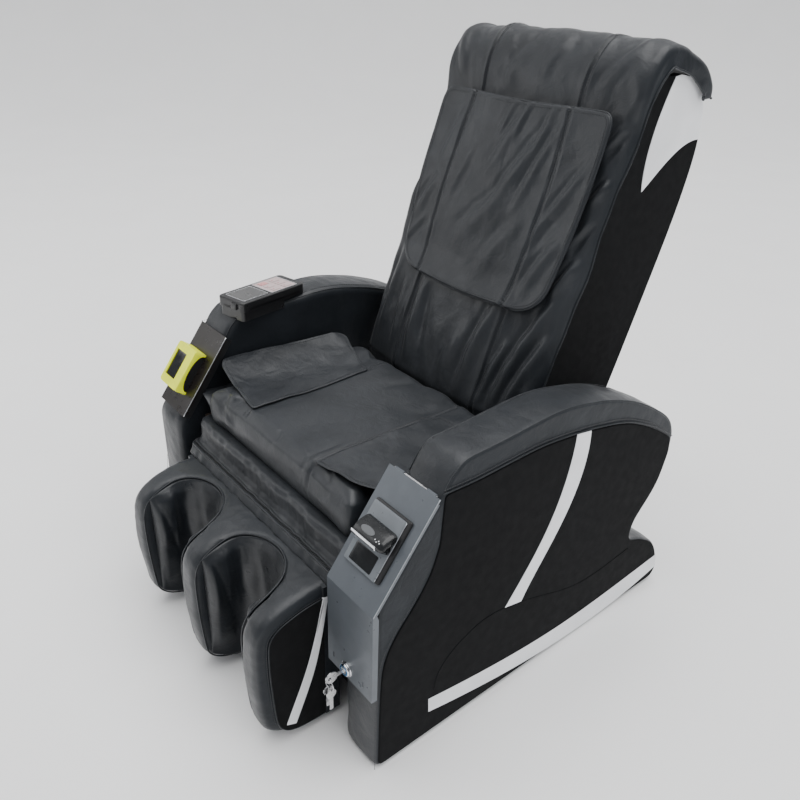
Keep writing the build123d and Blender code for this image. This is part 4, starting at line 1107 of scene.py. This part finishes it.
def build_apron():
    wide, high = 130, 44
    x = np.linspace(-264, 264, wide)
    grid = []
    for k in range(high):
        t = np.full(wide, k / (high - 1))
        grid.append(np.column_stack(apron_point(x, t)))
    apron = make("apron", np.vstack(grid), grid_faces(high, wide), fold_leather)
    modified(apron, "SOLIDIFY", thickness=0.0025, offset=-1)
    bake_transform(apron)
    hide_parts("front_apron")
    for number, (t, radius) in enumerate(((0.64, 2.0), (0.765, 2.0))):
        line = np.column_stack(apron_point(np.linspace(-264, 264, 120), np.full(120, t)))
        cord = rod(f"zip_cord_{number}", [line + (0, -1.5, 1.5)], radius, looks["leather_black"], None)
        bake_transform(cord)
    teeth = []
    for x0 in np.arange(-250, 250, 4.0):
        a = np.array(apron_point(np.array(x0), np.array(0.70))).astype(float)
        teeth.append([a + (0, -3, 0.6), a + (0.6, 0, 1.4), a + (1.2, 3, 1.8)])
    row = rod("zip_teeth", teeth, 0.7, looks["plastic_black"], None)
    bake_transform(row)


build_apron()

# ---- leather strips that close the gaps between the seat and the arms ---------------------------
for s, name in ((1, "near"), (-1, "far")):
    strip = []
    for y in np.linspace(-306, 196, 70):
        sag = 2.5 * math.sin(y / 29 + s) + 1.5 * math.sin(y / 13) - 44 * np.clip((y - 50) / 50, 0, 1)
        strip.append([(s * 237, y, min(392, 404 + sag)), (s * 250, y, 404 + sag), (s * 268, y, 415 + sag),
                      (s * 287.5, y, 420 + sag)])
    gusset = make(f"{name}_seat_gusset", np.array(strip), grid_faces(70, 4), fold_leather)
    modified(gusset, "SOLIDIFY", thickness=0.002, offset=-1)
    modified(gusset, "SUBSURF", levels=1, render_levels=1)
    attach(gusset, "base")

# ---- cash cabinet -------------------------------------------------------------------------------
WINDOW_X, WINDOW_S = 318, 97


def slope_place(x_mid=0.0, s_mid=0.0, out=0.0):
    """A mapping onto the sloped face of the cover: a runs across, b up the slope, h outwards."""
    def place(a, b, h):
        s, o = s_mid + b, out + h
        return (x_mid + a, -372 + s * math.cos(SLOPE) - o * math.sin(SLOPE),
                356 + s * math.sin(SLOPE) + o * math.cos(SLOPE))
    return place


def rounded(w, l, r, x=0.0, y=0.0):
    """Outline of a rectangle with round corners, centred at (x, y)."""
    line = []
    for cx, cy, start in ((1, 1, 0), (-1, 1, 1), (-1, -1, 2), (1, -1, 3)):
        for k in range(5):
            t = (start + k / 4) * math.pi / 2
            line.append((x + cx * (w / 2 - r) + r * math.cos(t), y + cy * (l / 2 - r) + r * math.sin(t)))
    return even(line, 2, True)


lock_blue = metal("lock_blue", (0.10, 0.32, 0.62), 0.16, scratch=0.02)
# Painted highlight: a pale grey steel for thin rods that stand for the light caught along the right edges
# of the cover and of the grey plate.
edge_highlight_steel = painted("steel_edge_highlight", (0.42, 0.44, 0.47), 0.3, 0.6)
glass = painted("window_glass", (0.008, 0.009, 0.010), 0.06, 0, 40, 0.03)
plate_grey = painted("plate_grey", (0.16, 0.175, 0.19), 0.3, 0.3, 900, 0.1)
on_window = slope_place(WINDOW_X, WINDOW_S)
base_frame_piece = slab("validator_frame", rounded(84, 106, 3), (0, 0), -2, 4.2, 0.5, 1.0, on_window,
                        looks["plastic_black"], "cabinet_cover", rings=4, side=2)
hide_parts("validator_bezel")
slab("validator_plate", rounded(76, 102, 1.5, -4, -2), (-4, -2), 4.0, 5.6, 0.3, 0.5, on_window,
     plate_grey, "cabinet_cover", rings=4, side=2)
slab("validator_window", rounded(52, 30, 1.5, -6, -34), (-6, -34), 5.0, 6.1, 0.2, 0.3, on_window, glass,
     "cabinet_cover", rings=4, side=2)
hood = soften(even([(26, 4), (23, 12), (14, 20), (4, 25), (-5, 25.5), (-9, 22), (-10, 4)], 1.5, True), 3)
hood_black = painted("hood_black", (0.010, 0.011, 0.012), 0.24, 0, 60, 0.05)


def across_window(a, b, h):
    """A place for a section that runs across the cover: h is sideways, a up the slope, b outwards."""
    return on_window(h, a, b)


slab("validator_hood", hood, (8, 13), -38, 34, 3, 9, across_window, hood_black, "cabinet_cover",
     rings=6, side=4)
lip = [(-4, 27.2), (-7.5, 25.8), (-11.0, 22.6), (-11.4, 20.4), (-8.6, 19.6), (-4.2, 24.5)]
slab("validator_lip", soften(even(lip, 1, True), 1), (-7.7, 23.4), -38.5, 20, 1.2, 1.2, across_window,
     looks["chrome"], "cabinet_cover", rings=4, side=3)
oval = [(-10 + 15 * math.cos(t), 8 + 5.5 * math.sin(t))
        for t in np.linspace(0, 2 * math.pi, 40, endpoint=False)]


def hood_top(a, b, h):
    """Lays a small part on the crown of the hood."""
    crown = np.interp(b, (-10, -5, 4, 14, 23, 26), (22.0, 25.3, 24.8, 20.0, 12.0, 4.0))
    return on_window(a, b, h + crown + 0.3)


slab("validator_thumb_pad", oval, (-10, 8), -1.5, 0.5, 0.2, 0.4, hood_top, looks["plastic_grey"],
     "cabinet_cover", rings=5, side=2)
for number, (x, b) in enumerate(((12, 4.5), (16.5, 2.5), (19.5, 5.5), (23, 3.5))):
    dot = [(x + 0.9 * math.cos(t), b + 0.9 * math.sin(t)) for t in np.arange(8) * math.pi / 4]
    slab(f"validator_light_{number}", dot, (x, b), -1.5, 0.6, 0.1, 0.2, hood_top,
         looks["leather_white"], "cabinet_cover", rings=2, side=2)
# Painted highlights along the right edge of the sloped face and along the right edge of the grey plate.
edge_line = [np.array(slope_place(379.4, 0)(0, s, -0.3)) for s in np.linspace(1, 201, 40)]
plate_edge = [np.array(slope_place(WINDOW_X + 34, WINDOW_S)(0, s, 5.2)) for s in np.linspace(-52, 48, 20)]
rod("cover_edge_highlights", [edge_line, plate_edge], 0.7, edge_highlight_steel, "cabinet_cover")
front_edge_line = [(379.5, -371.7, z) for z in np.linspace(178, 355, 30)]
rod("cover_front_edge", [front_edge_line], 0.6, looks["steel_grey"], "cabinet_cover")


def ring_piece(name, centre, radii, depth, material, body):
    """A flat ring with softened edges, facing the front."""
    inner, outer = radii
    profile = [(inner, 0), (inner, depth - 0.3), (inner + 0.3, depth), (outer - 0.6, depth),
               (outer, depth - 0.6), (outer, 0)]
    turns = 48
    points = [(centre[0] + r * math.cos(t), centre[1] - d, centre[2] + r * math.sin(t))
              for t in np.arange(turns) * 2 * math.pi / turns for r, d in profile]
    n = len(profile)
    faces = []
    for i in range(turns):
        here, after = i * n, ((i + 1) % turns) * n
        faces += [(here + k, here + (k + 1) % n, after + (k + 1) % n, after + k) for k in range(n)]
    return make(name, points, faces, material, body, sharp=30)


for name, y, radii, depth, look in (("lock_face", -377.6, (6.7, 10.2), 0.9, lock_blue),
                                    ("lock_collar", -372.1, (12.1, 14.0), 1.6, looks["chrome"])):
    ring_piece(name, (314, y, 197), radii, depth, look, "cabinet_cover")

# ---- card reader on the far arm -----------------------------------------------------------------
READER_X, READER_S = -342, 116
on_reader = slope_place(READER_X, READER_S)
yellow = looks["plastic_yellow"]
arch = [(-46, 0), (-46, 24), (-40, 26.5), (40, 26.5), (46, 24), (46, 0), (41, 0)]
arch += [(41 * math.cos(t), 18.5 * math.sin(t) ** 0.8) for t in np.linspace(0.05, math.pi - 0.05, 22)]
arch += [(-41, 0)]
count = len(arch)
arch_points = [on_reader(h, a, b) for h in (32.5, 36.2) for a, b in arch]
arch_faces = [tuple(range(count)), tuple(range(count, 2 * count))]
arch_faces += [(k, (k + 1) % count, count + (k + 1) % count, count + k) for k in range(count)]
arch_piece = make("reader_arch", arch_points, arch_faces, yellow, None, sharp=30)
modified(arch_piece, "BEVEL", width=0.0008, segments=2, limit_method="ANGLE")
arch_piece.data.set_sharp_from_angle(angle=math.radians(40))
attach(arch_piece, "base")
slab("reader_window", rounded(40, 58, 1.5, -8, 0), (-8, 0), 21.5, 23.8, 0.3, 0.5, on_reader, glass,
     "base", rings=4, side=2)
window_rim = [on_reader(a, b, 25.9) for a, b in rounded(41, 59, 2, -8, 0)]
rod("reader_window_rim", [window_rim], 0.7, yellow, "base", closed=True)
silver = [np.array(slope_place(-276.3, 0)(0, s, -0.6)) for s in np.linspace(33.5, 215.5, 30)]
rod("reader_plate_edge", [silver], 0.9, looks["aluminium"], "base")
flange = slope_place(-278.2, 124.5, -9.5)
slab("reader_plate_return", rounded(16, 181, 1), (0, 0), -1.0, 1.0, 0.4, 0.4,
     lambda a, b, h: flange(h, b, a), looks["plastic_black"], "base", rings=4, side=2)

# ---- remote control -----------------------------------------------------------------------------
TURN = math.radians(11.4)


def on_remote(a, b, h):
    """A mapping onto the remote: a runs across it, b along it, h upwards."""
    return (-318 + a * math.cos(TURN) - b * math.sin(TURN),
            -132 + a * math.sin(TURN) + b * math.cos(TURN), 576.5 + h)


shell_corners = [(-39, -76), (-30, -86), (30, -86), (39, -76), (39, 78), (31, 86), (-31, 86), (-39, 78)]
slab("remote_skirt", soften(even(shell_corners, 2.5, True), 3), (0, 0), 0.5, 9, 1.5, 1.5, on_remote,
     looks["plastic_black"], "base", rings=6, side=3)
frames = [[on_remote(a, b, 20.4) for a, b in line]
          for line in (rounded(56, 64, 1.2, 0, -41), rounded(64, 70, 1.2, 0, 34))]
rod("remote_frames", frames, 0.7, looks["aluminium"], "base", closed=True)
slab("remote_lens", rounded(53, 61, 1, 0, -41), (0, -41), 19.9, 20.5, 0.1, 0.2, on_remote,
     looks["screen_grey"], "base", rings=3, side=2)
print_red = painted("key_print", (0.42, 0.16, 0.17), 0.6, 0, 1500, 0.05)
for number in range(6):
    column, row = number % 3, number // 3
    x, y = (column - 1) * 19, 34 + (row - 0.5) * 30
    mark = [(x + 1.8 * math.cos(t), y - 4 + 1.8 * math.sin(t)) for t in np.arange(10) * math.pi / 5]
    slab(f"key_mark_{number + 1}", mark, (x, y - 4), 20.6, 21.15, 0.05, 0.1, on_remote, print_red,
         f"key_{number + 1}", rings=2, side=2)
for end in (-1, 1):
    tab = rounded(16, 7, 2, -14 * end, end * 86.5)
    slab(f"remote_lug_{'low' if end < 0 else 'high'}", tab, tab.mean(0), 4, 17, 1, 1.5, on_remote,
         looks["plastic_black"], "base", rings=4, side=2)

# ---- studs at the near end of the zip -----------------------------------------------------------
studs = [(256, -349, 333), (260, -343, 341), (250, -356, 324)]
for number, (x, y, z) in enumerate(studs):
    stud = [(x + 2.6 * math.cos(t), z + 2.6 * math.sin(t)) for t in np.arange(14) * math.pi / 7]
    slab(f"zip_stud_{number}", stud, (x, z), 0, 2.4, 0.2, 1.6, lambda a, b, h, y=y: (a, y - h, b),
         looks["steel_bright"], "base", rings=4, side=2)
